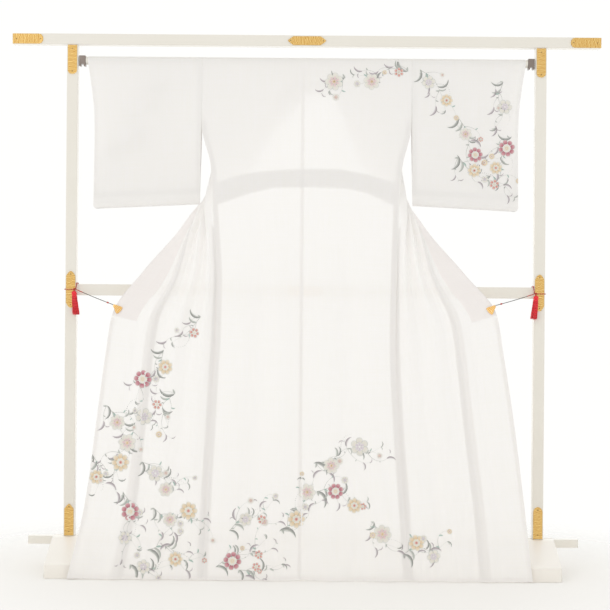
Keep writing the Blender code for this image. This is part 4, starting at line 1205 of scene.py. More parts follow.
@dataclass
class Garment:
    """The kimono: body panels, overlaps, sleeves, collar, tuck and all their seams.

    A wall is the distance between a band's two plies, a gap or ply how far a layer lies off the one below it. The
    sleeve's two sides come together below join_z, and its wrist edge is sewn shut below wrist_z.
    """

    silk: Material
    folded: Material
    # Darker copy of the silk for the seam allowances: painted shade on the seam bands
    sewn: Material
    columns: int = 78
    neck_columns: int = 14
    corner: float = 0.011
    ply: float = 0.0007
    under_ply: float = 0.0013
    hem: float = 0.013
    end_v: float = 1.596
    allowance: float = 0.0185
    panel_width: float = 0.255
    collar_wall: float = 0.0015
    collar_top: float = 1.5375
    over_wall: float = 0.0009
    over_gap: float = 0.0026
    sleeve_low: float = 1.141
    sleeve_fall: float = 0.015
    sleeve_half: float = 0.0075
    join_z: float = 1.36
    wrist_z: float = 1.375
    ripple: float = 0.0012
    over_end_v: float = 0.32
    tuck_wall: float = 0.0014
    tuck_gap: float = 0.0022
    sleeve_width: float = 0.34
    main: list = field(default_factory=list)
    extras: dict = field(default_factory=dict)

    def body(self, side: Side) -> Object:
        """One body panel in one piece from the hem of the back, over the rod, to the hem of the front.

        Args:
            side: Which half.

        Returns:
            The panel.
        """
        n, wide = self.columns, self.columns + self.neck_columns + 1
        half = TOP_X[side] - side.value * CENTRE_X
        neck = (TOP_X[side] - NECK_X[side]) / half
        q = np.concatenate([np.linspace(0, neck, n + 1), np.linspace(neck, 1, self.neck_columns + 1)[1:]])
        heights = np.linspace(HEM_Z, ROD_Z - 0.012, 190)
        back = DRAPE.back(side, q[None, :], heights[:, None])
        top_x = DRAPE.back(side, q, np.full(wide, ROD_Z))[:, 0]
        over = []
        start = math.pi - math.atan(SLOPE)
        bend = [(WRAP_R * math.cos(t), ROD_Z + WRAP_R * math.sin(t)) for t in np.linspace(start, 0, 16)]
        bend += [(WRAP_R + 0.0002 * (ROD_Z - z) / COLLAR_TOP_V, z) for z in (1.575, 1.562, 1.550, 1.540)]
        for y, z in bend:
            over.append(np.column_stack([top_x, np.full(wide, y + SHIFT_Y), np.full(wide, z)]))
        v = np.concatenate([np.linspace(0.055, 0.60, 110), np.linspace(0.61, LAST_V, 120)])
        share = np.linspace(0, 1, n + 1)
        front = DRAPE.front(side, share[None, :] * width_at(v, PANEL_WIDTHS)[:, None], v[:, None])
        top = np.concatenate([back, np.array(over)])
        verts = np.concatenate([top.reshape(-1, 3), front.reshape(-1, 3)])
        faces = grid_faces(len(top), wide)
        last, first = (len(top) - 1) * wide, len(top) * wide
        faces += [(last + c, first + c, first + c + 1, last + c + 1) for c in range(n)]
        faces += grid_faces(len(front), n + 1, first)
        length = np.concatenate([heights - ROD_Z, np.linspace(0, 0.05, len(over))])
        uv = np.concatenate([pairs(q * half, length[:, None]), pairs(share * self.panel_width, v[:, None])])
        obj = mesh_object(f"silk_body_{side.word}", verts, faces, uv, (self.silk,))
        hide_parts(f"body_{side.word}")
        return obj

    def overlap(self, side: Side) -> Object:
        """The front overlap: a wedge beside the collar, and below it a straight panel.

        Args:
            side: Which half.

        Returns:
            The panel.
        """
        tucked, above, beside, beyond = COLLAR_END_V - 0.0025, 80, 24, 12
        v = np.concatenate([np.linspace(0.275, tucked, above), np.linspace(tucked, LAST_V, 112)[1:]])
        low, seam, high = (width_at(v, table)[:, None] for table in (PANEL_WIDTHS, SEAM_WIDTHS, FULL_WIDTHS))
        u = np.concatenate([low + (seam - low) * np.linspace(0, 1, beside),
                            seam + (high - seam) * np.linspace(0, 1, beyond + 1)[1:]], axis=1)
        grid = DRAPE.front(side, u, v[:, None])
        across = beside + beyond
        faces = [f for f in grid_faces(len(v), across)
                 if min(f) // across >= above - 1 or max(i % across for i in f) < beside]
        used = np.unique(np.array(faces))
        renamed = {int(old): new for new, old in enumerate(used)}
        faces = [tuple(renamed[i] for i in f) for f in faces]
        obj = mesh_object(f"silk_overlap_{side.word}", grid.reshape(-1, 3)[used], faces,
                          pairs(u, v[:, None])[used], (self.silk,))
        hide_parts(f"overlap_{side.word}")
        return obj

    def collar_grid(self, last_v: float) -> Points:
        """Rows of points across the collar, from the left end round the neck to the right end.

        Args:
            last_v: Length of cloth below the rod where both ends stop.

        Returns:
            Rows of points.
        """
        v = np.linspace(COLLAR_TOP_V, last_v, int(last_v * 170))
        halves = []
        for side in Side:
            low, high = width_at(v, SEAM_WIDTHS), width_at(v, FULL_WIDTHS)
            start = (low + 0.0004)[:, None]
            grid = DRAPE.front(side, start + (high[:, None] - start) * np.linspace(0, 1, 16), v[:, None])
            grid[:, :, 2] = np.minimum(grid[:, :, 2], self.collar_top)
            halves.append(grid)
        left, right = halves
        bridge = []
        for t in np.linspace(0, 1, 22)[1:-1]:
            row = left[0] + (right[0] - left[0]) * t
            row[:, 2] -= 0.002 * math.sin(math.pi * t)
            bridge.append(row)
        return np.concatenate([left[::-1], np.array(bridge), right])

    def band(self, name: str, grid: Points, wall: float, node: str, sewn: bool = False) -> Object:
        """A folded band: two plies joined along both edges and at both ends.

        Args:
            name: Piece name.
            grid: Middle surface.
            wall: Distance between the two plies.
            node: Solid that the band stands for.
            sewn: The first edge is two cut edges sewn into a seam, and not a fold; the ends are then left open.

        Returns:
            The band.
        """
        rows, columns = grid.shape[:2]
        normal = DRAPE.normals(grid)
        ends = np.minimum(np.arange(rows), np.arange(rows)[::-1])
        half = wall / 2 * (0.45 + 0.55 * eased(ends, 0, 9))[:, None, None]
        near, far = grid + normal * half, grid - normal * half
        ring = np.concatenate([near, far[:, ::-1]], axis=1)
        faces = grid_faces(rows, 2 * columns, closed=not sewn)
        for r in () if sewn else (0, rows - 1):
            base = r * 2 * columns
            for c in range(columns - 1):
                cap = (base + c, base + c + 1, base + 2 * columns - 2 - c, base + 2 * columns - 1 - c)
                faces.append(cap if r == 0 else cap[::-1])
        across = np.linspace(0, 0.08, columns)
        uv = pairs(np.concatenate([across, across[::-1]]), np.arange(rows)[:, None] * 0.006)
        obj = mesh_object(name, ring, faces, uv, (self.folded,))
        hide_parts(node)
        return obj

    def tuck(self) -> Object:
        """The waist tuck: folded plies behind the back panels, in an arched band.

        Returns:
            The band.
        """
        x = np.linspace(-TUCK_END, TUCK_END, 96)
        level = np.linspace(0, 1, 12)[:, None]
        z = width_at(x, TUCK_TOP) * (1 - level) + width_at(x, TUCK_BOTTOM) * level
        grid = np.zeros((*z.shape, 3))
        for side in Side:
            mine = (x < CENTRE_X) if side is Side.LEFT else (x >= CENTRE_X)
            zz = z[:, mine]
            edge = DRAPE.edge_x(side, zz.ravel()).reshape(zz.shape)
            q = np.clip((side.value * x[mine] - edge) / (side.value * CENTRE_X - edge), 0, 1)
            grid[:, mine] = DRAPE.back(side, q, zz)
            grid[:, mine, 0] = x[mine]
        grid[:, :, 1] += self.tuck_gap
        return self.band("silk_waist_tuck", grid, self.tuck_wall, "waist_tuck")

    def sleeve_ring(self, t: float) -> tuple[Points, Points]:
        """Depth and height of one loop of the sleeve at share t from the body to the wrist.

        Args:
            t: Share of the way.

        Returns:
            Depths and heights.
        """
        bottom = self.sleeve_low - self.sleeve_fall * t
        low = bottom + 0.034 * (ROD_Z - bottom) / (ROD_Z - SLEEVE_BOTTOM)
        z = np.linspace(low, ROD_Z - 0.014, 74)
        lean = SLOPE * np.minimum(ROD_Z - z, ROD_Z - ARMHOLE_Z) * (1 - t) ** 1.4
        near = eased(self.join_z - z, 0.0, 0.20)
        shut = float(eased(t, 0.90, 1.0)) * eased(self.wrist_z - z, 0.0, 0.02)
        half = self.sleeve_half * (1 - 0.92 * shut)
        middle = -0.010 * (1 - t) - 0.002
        calm = eased(ROD_Z - z, 0.05, 0.2) * self.ripple * np.sin(5.2 * t + 0.6)
        front = -WRAP_R - lean
        front = front + (middle - half - front) * near - calm * (1 + np.sin(16 * z + 6 * t))
        rear = WRAP_R + (middle + half - WRAP_R) * near
        start = math.pi - math.atan(SLOPE * (1 - t) ** 1.4)
        angle = np.linspace(start, 0, 17)[1:-1]
        turn = np.linspace(0, math.pi, 9)[1:-1]
        yf, yr = front[0], rear[0]
        y = np.concatenate([front, WRAP_R * np.cos(angle), rear[::-1], (yf + yr) / 2 + (yr - yf) / 2 * np.cos(turn)])
        heights = np.concatenate([z, ROD_Z + WRAP_R * np.sin(angle), z[::-1],
                                  bottom + (low - bottom) * (1 - np.sin(turn))])
        return y + SHIFT_Y, heights

    def sleeve_grid(self, side: Side, shares: Points) -> Points:
        """Loops of the sleeve at several shares from the body to the wrist.

        Args:
            side: Which half.
            shares: Shares of the way.

        Returns:
            Rows of points.
        """
        rows = []
        for t in shares:
            y, z = self.sleeve_ring(float(t))
            inner = TOP_X[side] + 0.0004 + np.maximum(0.0, (ARMHOLE_Z - z) / 0.25) * 0.0045
            wrist = smooth_columns(SLEEVE_EDGE, np.clip(z, SLEEVE_BOTTOM, ROD_Z))[:, 0]
            near = np.clip(1 - (z - z.min()) / self.corner, 0, 1)
            wrist = wrist - self.corner * (1 - np.sqrt(1 - near ** 2))
            rows.append(np.column_stack([side.value * (inner + (wrist - inner) * t), y, z]))
        return np.array(rows)

    def sleeve(self, side: Side) -> Object:
        """One sleeve: a loop of cloth over the rod, with its sewn hems as further plies.

        Args:
            side: Which half.

        Returns:
            The sleeve.
        """
        grid = self.sleeve_grid(side, np.linspace(0, 1, 56))
        rows, columns = grid.shape[:2]
        step = np.concatenate([[0], np.cumsum(np.linalg.norm(np.diff(grid[0], axis=0), axis=1))])
        uv = pairs(np.linspace(0, self.sleeve_width, rows)[:, None], step)
        obj = mesh_object(f"silk_sleeve_{side.word}", grid, grid_faces(rows, columns, closed=True), uv, (self.silk,))
        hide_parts(f"sleeve_{side.word}")
        hems = Plies()
        for low, high in ((0.0, 0.045), (0.97, 1.0)):
            part = self.sleeve_grid(side, np.linspace(low, high, 6))[:, :150]
            inward = np.where(part[:, :, 1:2] < SHIFT_Y, 1.0, -1.0) * np.array([0.0, 0.0006, 0.0])
            hems.lay(part + inward, 0.0)
        wide = self.sleeve_grid(side, np.linspace(0.01, 0.99, 30))
        hems.lay(wide[:, :4], self.ply)
        hems.lay(wide[:, 159:163], -self.ply)
        self.extras[side, "sleeve"] = hems.build(f"silk_sleeve_hems_{side.word}", self.silk)
        return obj

    def allowances(self, side: Side) -> Object:
        """Seam allowances and hems of one half: further plies behind the panels.

        Args:
            side: Which half.

        Returns:
            The piece.
        """
        plies, two = Plies(), ((self.ply, 1.0), (self.under_ply, 0.86))

        def half(z: Points) -> Points:
            """Width of the back panel at heights z."""
            return (DRAPE.edge_x(side, z) - side.value * CENTRE_X)[:, None]

        def rows(start: float, stop: float, count: int) -> Points:
            """Evenly spaced places down the cloth."""
            return np.linspace(start, stop, count)[:, None]

        # Side seam, on the back and on the front
        off_back, off_front = (0.0, 0.0) if side is Side.RIGHT else (-0.0020, 0.0010)
        wide_back, wide_front = self.allowance + off_back, self.allowance + off_front
        z, v = rows(0.008, 1.40, 150), rows(0.52, self.end_v, 120)
        for lift, reach in two:
            plies.lay(DRAPE.back(side, np.linspace(0, wide_back * reach, 6) / half(z[:, 0]), z), lift)
        for lift, reach in two:
            plies.lay(DRAPE.front(side, np.linspace(0, wide_front * reach, 6), v), lift)
        # Seam of the overlap
        v = rows(0.30, self.end_v, 130)
        seam, taper = width_at(v, PANEL_WIDTHS), eased(v, 0.30, 0.60)
        plies.lay(DRAPE.front(side, seam + np.linspace(-0.020, 0.019, 8) * taper, v), self.ply)
        plies.lay(DRAPE.front(side, seam + np.linspace(-0.018, 0.0, 5) * taper, v), self.under_ply)
        # Centre seam, pressed to the left
        if side is Side.LEFT:
            z = rows(0.008, ROD_Z - 0.02, 150)
            plies.lay(DRAPE.back(side, 1 - np.linspace(0, 0.011, 4) / half(z[:, 0]), z), 0.0008)
        # Hems below, and down the overlap's edge
        z, v = rows(HEM_Z + 0.001, HEM_Z + self.hem, 4), rows(LAST_V - self.hem, LAST_V - 0.001, 4)
        plies.lay(DRAPE.back(side, np.linspace(0, 1, 90), z), self.ply)
        plies.lay(DRAPE.front(side, np.linspace(0, 1, 110) * width_at(v, FULL_WIDTHS), v), self.ply)
        v = rows(COLLAR_END_V + 0.006, self.end_v, 100)
        plies.lay(DRAPE.front(side, width_at(v, FULL_WIDTHS) + np.linspace(-0.012, -0.0004, 4), v), self.ply)
        # The allowances take the darker silk, painted shade on the seam bands
        return plies.build(f"silk_allowances_{side.word}", self.sewn)

    def build(self) -> None:
        tuck = self.tuck()
        for side in Side:
            self.main += [self.body(side), self.overlap(side), self.sleeve(side)]
            log.info("cloth of the %s half", side.word)
        painted = Design(self.main).build()
        for side, (body, overlap, sleeve) in zip(Side, (self.main[:3], self.main[3:])):
            pieces = [self.allowances(side), *painted[body.name]] + ([tuck] if side is Side.LEFT else [])
        collar = self.band("silk_collar", self.collar_grid(COLLAR_END_V), self.collar_wall, "collar", sewn=True)
        short = self.collar_grid(self.over_end_v)
        normal = DRAPE.normals(short)
        if normal[len(short) // 2, 8, 1] < 0:
            normal = -normal
        over = self.band("silk_over_collar", short + normal * self.over_gap, self.over_wall, "over_collar", sewn=True)


@dataclass
class Fitting:
    """One pair of gilt plates, front and rear: their place along a bar and the reach of their shaped ends."""

    name: str
    half_a: float
    half_b: float
    low: float
    high: float
    low_tip: float
    high_tip: float
    capped: bool = False
    round_tip: bool = False
    flank: float = 1.25

    def shape(self, s: Points) -> Points:
        """Reach of the shaped end across the face, from 0 at its edges to 1 in the middle."""
        return np.sqrt(np.clip(1 - s * s, 0, 1)) if self.round_tip else 1 - np.abs(s) ** self.flank


@dataclass
class Stand:
    """The lacquered stand: bars carried over from the solids, and feet, gilt fittings and brackets made here."""

    lacquer: Material
    # Lighter copy of the white lacquer for the feet: painted light
    pale: Material
    gilt: Material
    iron: Material
    dark: Material
    beam_half: float = 0.914
    beam: float = 0.034
    beam_z: float = 1.653
    rail_depth: float = 0.026
    foot_width: float = 0.102
    foot_top: float = 0.105
    foot_reach: float = 0.184
    foot_front: float = 0.044
    stretcher_bottom: float = 0.0795
    chasing: float = 0.0004
    nail_inset: float = 0.009
    bracket_inner: float = 0.690
    bracket_depth: float = 0.026
    bracket_edge: float = 0.0014
    nails: list = field(default_factory=list)

    def bars(self) -> None:
        """Lacquer the straight bars, whose solids have the right shape."""
        for node in ("beam", "post_left", "post_right", "middle_rail", "lower_rail", "rod"):
            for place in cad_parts[node].material_slots:
                place.material = self.lacquer

    def foot(self, side: Side) -> None:
        """A foot: a long block whose top falls straight to both ends, its edges eased.

        Args:
            side: Which half.
        """
        slot, reach, front, top = self.rail_depth / 2 + GAP, self.foot_reach, self.foot_front, self.foot_top
        right = [(reach, 0.0), (reach, front * 0.5)]
        for start, corner, stop in (((reach, front - 0.005), (reach, front), (reach - 0.0047, front + 0.0019)),
                                    ((0.0350, top - 0.0020), (0.030, top), (0.0240, top))):
            for t in np.linspace(0, 1, 6):
                pull = ((1 - t) ** 2, 2 * t * (1 - t), t * t)
                right.append(tuple(sum(w * q[i] for w, q in zip(pull, (start, corner, stop))) for i in (0, 1)))
        right += [(slot, top), (slot, self.stretcher_bottom - GAP)]
        outline = [(-y, z) for y, z in right] + [(y, z) for y, z in right[::-1]]
        n, centre = len(outline), np.array([0.0, 0.045])
        cut = range(len(right) - 2, len(right) + 2)
        rings = [(step - self.foot_width / 2, inset)
                 for step, inset in ((0.0, 0.0060), (0.0012, 0.0032), (0.0032, 0.0012), (0.006, 0.0))]
        rings += [(-x, inset) for x, inset in rings[::-1]]
        verts = []
        for x, inset in rings:
            for k, place in enumerate(outline):
                p = np.array(place)
                if k not in cut and inset:
                    along = np.array(outline[(k + 1) % n]) - np.array(outline[k - 1])
                    inward = np.array([along[1], -along[0]]) / max(float(np.linalg.norm(along)), 1e-9)
                    p = p + (inward if float(np.dot(inward, centre - p)) > 0 else -inward) * inset
                verts.append((side.value * POST_X + x, p[0] + SHIFT_Y, max(p[1], 0.0)))
        faces = grid_faces(len(rings), n, closed=True)
        faces += [tuple(range(n)), tuple((len(rings) - 1) * n + k for k in range(n))[::-1]]
        # The feet take the lighter copy of the white lacquer, painted light for the light that falls on them
        obj = mesh_object(f"lacquered_foot_{side.word}", np.array(verts), faces, materials=(self.pale,))
        outward(obj, 50)
        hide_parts(f"foot_{side.word}")

    def fitting(self, item: Fitting, place: Callable, node: str) -> None:
        """A pair of chased gilt plates with a raised rim, on the front and the rear of a bar.

        Args:
            item: Sizes and kind of ends.
            place: Function from (a, b, along) to a point in the row frame.
            node: Solid that it stands for.
        """
        across = np.linspace(-1, 1, 17)
        reach = item.shape(across)
        low, high = item.low + item.low_tip * reach, item.high + item.high_tip * reach
        levels = np.concatenate([[0.0, 0.02, 0.035, 0.06], np.linspace(0.1, 0.9, 9), [0.94, 0.965, 0.98, 1.0]])
        deep = np.concatenate([np.zeros(3), np.ones(11), np.zeros(3)]) * self.chasing
        outer = item.half_b + GAP + PLATE_T
        verts, uv, rim = [], [], []
        for face, hollows in ((outer, deep), (item.half_b + GAP, 0 * deep)):
            for level, hollow in zip(levels, hollows):
                for a, start, span in zip(across, low, high - low):
                    along = start + span * level
                    verts.append(place((a * item.half_a, hollow - face, along)))
                    uv.append(((a + 1) * item.half_a * 1000, along * 1000))
                    rim.append(min(min(level, 1 - level) * span, (1 - abs(a)) * item.half_a) * 1000)
        faces = slab_faces(len(levels), len(across))
        verts = np.array(verts)
        twin = verts * np.array([1.0, -1.0, 1.0]) + np.array([0.0, 2 * SHIFT_Y, 0.0])
        faces += [tuple(len(verts) + i for i in f)[::-1] for f in faces]
        verts, uv, rim = np.concatenate([verts, twin]), uv * 2, rim * 2
        if item.capped:
            start, ring = len(verts), ((-1, -1), (1, -1), (1, 1), (-1, 1))
            corners = [(x, y, z) for z in (item.low, item.low + PLATE_T - GAP) for x, y in ring]
            cap = [place((x * item.half_a, y * (item.half_b + GAP - 0.0001), z)) for x, y, z in corners]
            verts = np.concatenate([verts, np.array(cap)])
            uv += [(x * item.half_a * 1000, y * item.half_b * 1000) for x, y, _ in corners]
            rim += [0.0] * 8
            faces += [tuple(start + i for i in f) for f in [(0, 1, 2, 3), (4, 5, 6, 7)]]
            faces += [(start + k, start + (k + 1) % 4, start + 4 + (k + 1) % 4, start + 4 + k) for k in range(4)]
        obj = mesh_object("gilt_" + item.name, verts, faces, np.array(uv), (self.gilt,))
        add_rim(obj, rim)
        outward(obj, 35)
        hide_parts(node)
        for end, tip, inward in ((item.low, item.low_tip, 1), (item.high, item.high_tip, -1)):
            spot = end + (tip + inward * self.nail_inset if tip else inward * 0.012)
            self.nails.append(place((0.0, 0.0002 - outer, spot)))

    def fittings(self) -> None:
        """All gilt fittings."""
        h, cap = self.beam / 2, self.beam_half + GAP + PLATE_T
        rows = (("top", 1.556, 1.6345, -0.012, 0.0), ("middle", 0.832, 0.914, -0.016, 0.016),
                ("bottom", 0.107, 0.190, 0.0, 0.016))
        for side in Side:
            end = Fitting(f"beam_end_{side.word}", 0.0155, h, -cap, 0.079 - self.beam_half, 0.0, 0.0135,
                          capped=True, round_tip=True)
            self.fitting(end, lambda p, sx=side.value: (-sx * p[2], p[1] + SHIFT_Y, self.beam_z + p[0]),
                         f"beam_fitting_{side.word}")
        centre = Fitting("beam_centre", 0.0137, h, -0.042, 0.042, -0.0175, 0.0175)
        self.fitting(centre, lambda p: (p[2], p[1] + SHIFT_Y, self.beam_z + p[0]), "beam_fitting_centre")
        rail = Fitting("rail_centre", RAIL_H / 2 - 0.003, self.rail_depth / 2, -0.042, 0.042, -0.014, 0.014)
        self.fitting(rail, lambda p: (p[2], p[1] + SHIFT_Y, RAIL_Z + p[0]), "rail_fitting_centre")
        for side in Side:
            for name, low, high, low_tip, high_tip in rows:
                rounded = name == "top" or (name == "bottom" and side is Side.RIGHT)
                item = Fitting(f"post_{name}_{side.word}", 0.0143, POST_W / 2, low, high, low_tip, high_tip,
                               round_tip=rounded, flank=1.9 if name == "middle" else 1.25)
                self.fitting(item, lambda p, x=side.value * POST_X: (x + p[0], p[1] + SHIFT_Y, p[2]),
                             f"post_fitting_{name}_{side.word}")

    def brackets(self) -> None:
        """Cast iron brackets that carry the rod, with eased edges."""
        outer, inner, depth = POST_X - POST_W / 2 - PLATE_T - 3 * GAP, self.bracket_inner, self.bracket_depth
        middle, top, bottom = (inner + outer) / 2, ROD_Z + 0.015, ROD_Z - 0.018
        notch = [(middle + 0.004, bottom), (middle + 0.004, bottom + 0.007),
                 (middle - 0.004, bottom + 0.007), (middle - 0.004, bottom)]
        outline = [(inner, top), (outer, top), (outer, bottom), *notch, (inner, bottom)]
        for side in Side:
            mesh = bmesh.new()
            ring = [mesh.verts.new((side.value * x, SHIFT_Y - depth / 2, z)) for x, z in outline]
            made = bmesh.ops.extrude_face_region(mesh, geom=[mesh.faces.new(ring)])
            moved = [v for v in made["geom"] if isinstance(v, bmesh.types.BMVert)]
            bmesh.ops.translate(mesh, verts=moved, vec=(0, depth, 0))
            bmesh.ops.recalc_face_normals(mesh, faces=mesh.faces)
            bmesh.ops.bevel(mesh, geom=list(mesh.edges), offset=self.bracket_edge, segments=3, profile=0.5,
                            affect="EDGES")
            data = bpy.data.meshes.new(f"iron_bracket_{side.word}")
            mesh.to_mesh(data)
            mesh.free()
            data.materials.append(self.iron)
            data.polygons.foreach_set("use_smooth", [True] * len(data.polygons))
            obj = riding(f"iron_bracket_{side.word}", data)
            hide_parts(f"rod_bracket_{side.word}")

    def nail_heads(self) -> None:
        """Round-headed darkened nails on the front of each fitting, set by Geometry Nodes."""
        rings = ((0.0, 0.0016), (0.0005, 0.00155), (0.0009, 0.0012), (0.0012, 0.0006))
        verts = [(r * math.cos(t), -y, r * math.sin(t)) for y, r in rings for t in np.linspace(0, 2 * math.pi, 11)[:-1]]
        verts.append((0.0, -0.0013, 0.0))
        faces = grid_faces(4, 10, closed=True) + [(30 + k, 30 + (k + 1) % 10, 40) for k in range(10)]
        tool = NodeTool("nails on points", Nail="Object", Size="Float")
        turn = out(tool.tree, "FunctionNodeRandomValue", {0: (0.0, 0.0, 0.0), 1: (0.0, 6.28, 0.0), "Seed": 4},
                   data_type="FLOAT_VECTOR")
        tool.finish(tool.copies(tool.given["Geometry"], tool.shape("Nail"), Rotation=turn, Scale=tool.given["Size"]),
                    self.dark)
        head = plain_mesh("nail", np.array(verts), faces, np.zeros((41, 2)))
        mesh = tool.run(plain_mesh("nail places", self.nails, []), Nail=head, Size=1.0)
        obj = riding("fitting_nails", mesh)
        outward(obj, 80)

    def build(self) -> None:
        """Make and dress the whole stand."""
        self.bars()
        for side in Side:
            self.foot(side)
        self.fittings()
        self.brackets()
        self.nail_heads()
        log.info("stand")


@dataclass
class Ties:
    """Red loops with tassels on both posts, and taut elastic cords to the fan clips on the collar's ends."""

    red: Material
    floss: Material
    elastic: Material
    gilt: Material
    loop_r: float = 0.0014
    knot_r: float = 0.0041
    plait_r: float = 0.00135
    elastic_r: float = 0.0010
    tassel_length: float = 0.076
    tassel_lean: float = 0.10
    strand_r: float = 0.0005
    strands: int = 270
    flatness: float = 0.6
    clip_length: float = 0.026
    clip_wall: float = 0.0005
    sag: float = 0.0012

    def cord_piece(self, name: str, mat: Material, path: Points, radius: Points | float, sides: int,
                   closed: bool = False) -> Object:
        """A piece of round cord along a path."""
        verts, faces, uv = tube(path, radius, sides, closed)
        return mesh_object(name, verts, faces, uv, (mat,))

    def loop(self, side: Side) -> None:
        """The loop round the post, over the rail.

        Args:
            side: Which half.
        """
        z, r, corner = LOOP_Z[side], self.loop_r, 0.004
        half_x, half_y = POST_W / 2 + 2 * GAP + r, POST_W / 2 + PLATE_T + 2 * GAP + r
        over = RAIL_Z + RAIL_H / 2 + 0.003
        points = []
        for cx, cy, start in ((1, 1, 0), (-1, 1, 90), (-1, -1, 180), (1, -1, 270)):
            for k in range(7):
                t, lift = math.radians(start + 15 * k), 0.0
                if cx < 0:
                    lift = float(eased(k / 6, 0.0, 0.95) if cy > 0 else 1 - eased(k / 6, 0.05, 1.0))
                x = cx * (half_x - corner) + corner * math.cos(t)
                y = cy * (half_y - corner) + corner * math.sin(t)
                points.append((side.value * (POST_X + x), y + SHIFT_Y, z + lift * (over - z)))
        full = [points[0]]
        for p, q in zip(points, points[1:] + points[:1]):
            steps = max(1, round(math.dist(p, q) / 0.003))
            full += [tuple(np.array(p) + (np.array(q) - np.array(p)) * k / steps) for k in range(1, steps + 1)]
        obj = self.cord_piece(f"red_loop_{side.word}", self.red, np.array(full[:-1]), r, 12, True)
        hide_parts(f"tie_loop_{side.word}")

    def knot_place(self, side: Side) -> Points:
        """Middle of the knot on the post's front.

        Args:
            side: Which half.

        Returns:
            The point.
        """
        front = -(POST_W / 2 + PLATE_T + 2 * GAP + self.loop_r)
        return np.array([side.value * (POST_X - 0.012), front - self.loop_r - GAP - self.knot_r + SHIFT_Y,
                         LOOP_Z[side]])

    def knot(self, side: Side) -> None:
        """A tight round knot of the same cord.

        Args:
            side: Which half.
        """
        t = np.linspace(0, 2 * math.pi, 91)[:-1]
        path = np.column_stack([np.sin(t) + 2 * np.sin(2 * t), -np.sin(3 * t) * 1.1, np.cos(t) - 2 * np.cos(2 * t)])
        path = path * np.array([0.00088, 0.0011, 0.00100]) + self.knot_place(side)
        obj = self.cord_piece(f"red_knot_{side.word}", self.red, path, self.plait_r, 10, True)
        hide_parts(f"tie_knot_{side.word}")

    def strand_tree(self, name: str) -> NodeTool:
        """Geometry Nodes: strands of uneven length on the tassel's roots, spread outward.

        Args:
            name: The tree's name.

        Returns:
            The tree, ready to run.
        """
        tool = NodeTool(name, Strand="Object", Spread="Float", Uneven="Float")
        tree, given = tool.tree, tool.given
        root = add(tree, "ShaderNodeSeparateXYZ", {0: out(tree, "GeometryNodeInputPosition")}).outputs
        tilt_x = maths(tree, "MULTIPLY", root["Y"], given["Spread"])
        tilt_y = maths(tree, "MULTIPLY", maths(tree, "MULTIPLY", root["X"], given["Spread"]), -1.0)
        turns = [out(tree, "FunctionNodeEulerToRotation", {0: turn})
                 for turn in (vector(tree, X=tilt_x, Y=tilt_y), vector(tree, Z=chance(tree, 0.0, 6.28, 7)))]
        both = out(tree, "FunctionNodeRotateRotation", dict(enumerate(turns)), rotation_space="LOCAL")
        stretch = chance(tree, maths(tree, "SUBTRACT", 1.0, given["Uneven"]), 1.0, 3)
        tool.finish(tool.copies(given["Geometry"], tool.shape("Strand"), Rotation=both,
                                Scale=vector(tree, X=1.0, Y=1.0, Z=stretch)), self.floss)
        return tool

    def hang(self, side: Side, points: Points) -> Points:
        """Lean a tassel's points outward down its length, flatten it and move it under the knot.

        Args:
            side: Which half.
            points: Points about the tassel's top.

        Returns:
            Points in the row frame.
        """
        points = points.copy()
        points[:, 0] -= side.value * self.tassel_lean * np.maximum(-points[:, 2] - 0.004, 0)
        points[:, 1] *= self.flatness
        return points + self.knot_place(side) - np.array([0.0, 0.0, 0.0045 + GAP])

    def tassel(self, side: Side) -> None:
        """A bound head with fine silk strands below it, set out by Geometry Nodes.

        Args:
            side: Which half.
        """
        rows = ((0.0, 0.0020), (-0.0015, 0.0052), (-0.004, 0.0076), (-0.008, 0.0084), (-0.0105, 0.0080),
                (-0.0112, 0.0074), (-0.0120, 0.0077), (-0.0128, 0.0074), (-0.0136, 0.0077), (-0.0144, 0.0074),
                (-0.0152, 0.0079), (-0.0180, 0.0084))
        verts, faces, uv = tube([(0.0, 0.0, z) for z, _ in rows], np.array([r for _, r in rows]), 20)
        head = mesh_object(f"tassel_head_{side.word}", self.hang(side, verts), faces, uv, (self.floss,))
        rng = np.random.default_rng(11 + side.value)
        turn = rng.uniform(0, 2 * math.pi, self.strands)
        away = np.sqrt(rng.uniform(0.02, 1.0, self.strands)) * 0.0078
        roots = np.column_stack([away * np.cos(turn), away * np.sin(turn), np.full(self.strands, -0.0165)])
        down = np.linspace(0, 1, 9)
        strand = np.column_stack([0.0011 * np.sin(5 * down) * down, 0.0008 * np.sin(8 * down + 1) * down,
                                  -(self.tassel_length - 0.0175) * down])
        verts, faces, uv = tube(strand, self.strand_r * (1 - 0.25 * down), 4)
        mesh = self.strand_tree(f"tassel strands {side.word}").run(
            plain_mesh("roots", roots, []), Strand=plain_mesh("strand", verts, faces, uv), Spread=6.5, Uneven=0.12)
        points = np.zeros(len(mesh.vertices) * 3)
        mesh.vertices.foreach_get("co", points)
        mesh.vertices.foreach_set("co", self.hang(side, points.reshape(-1, 3)).ravel())
        mesh.update()
        obj = riding(f"tassel_strands_{side.word}", mesh)
        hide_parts(f"tassel_{side.word}")

    def clip_frame(self, side: Side) -> tuple[Points, Points, Points, Points]:
        """The clip's narrow end, its axis, the way across and the cloth's normal, outward distance as x.

        Args:
            side: Which half.

        Returns:
            The four, in this order.
        """
        u = float(width_at(CLIP_V, FULL_WIDTHS))
        p, inside, below, over = (DRAPE.front(side, u + du, CLIP_V + dv) * np.array([side.value, 1.0, 1.0])
                                  for du, dv in ((0.0, 0.0), (-0.02, 0.0), (0.0, 0.02), (0.0, -0.02)))
        inward, down = unit(inside - p), unit(below - over)
        normal = unit(np.cross(inward, down))
        along = unit(0.85 * inward + 0.45 * down)
        return p - along * CLIP_ROOT, along, np.cross(normal, along), normal

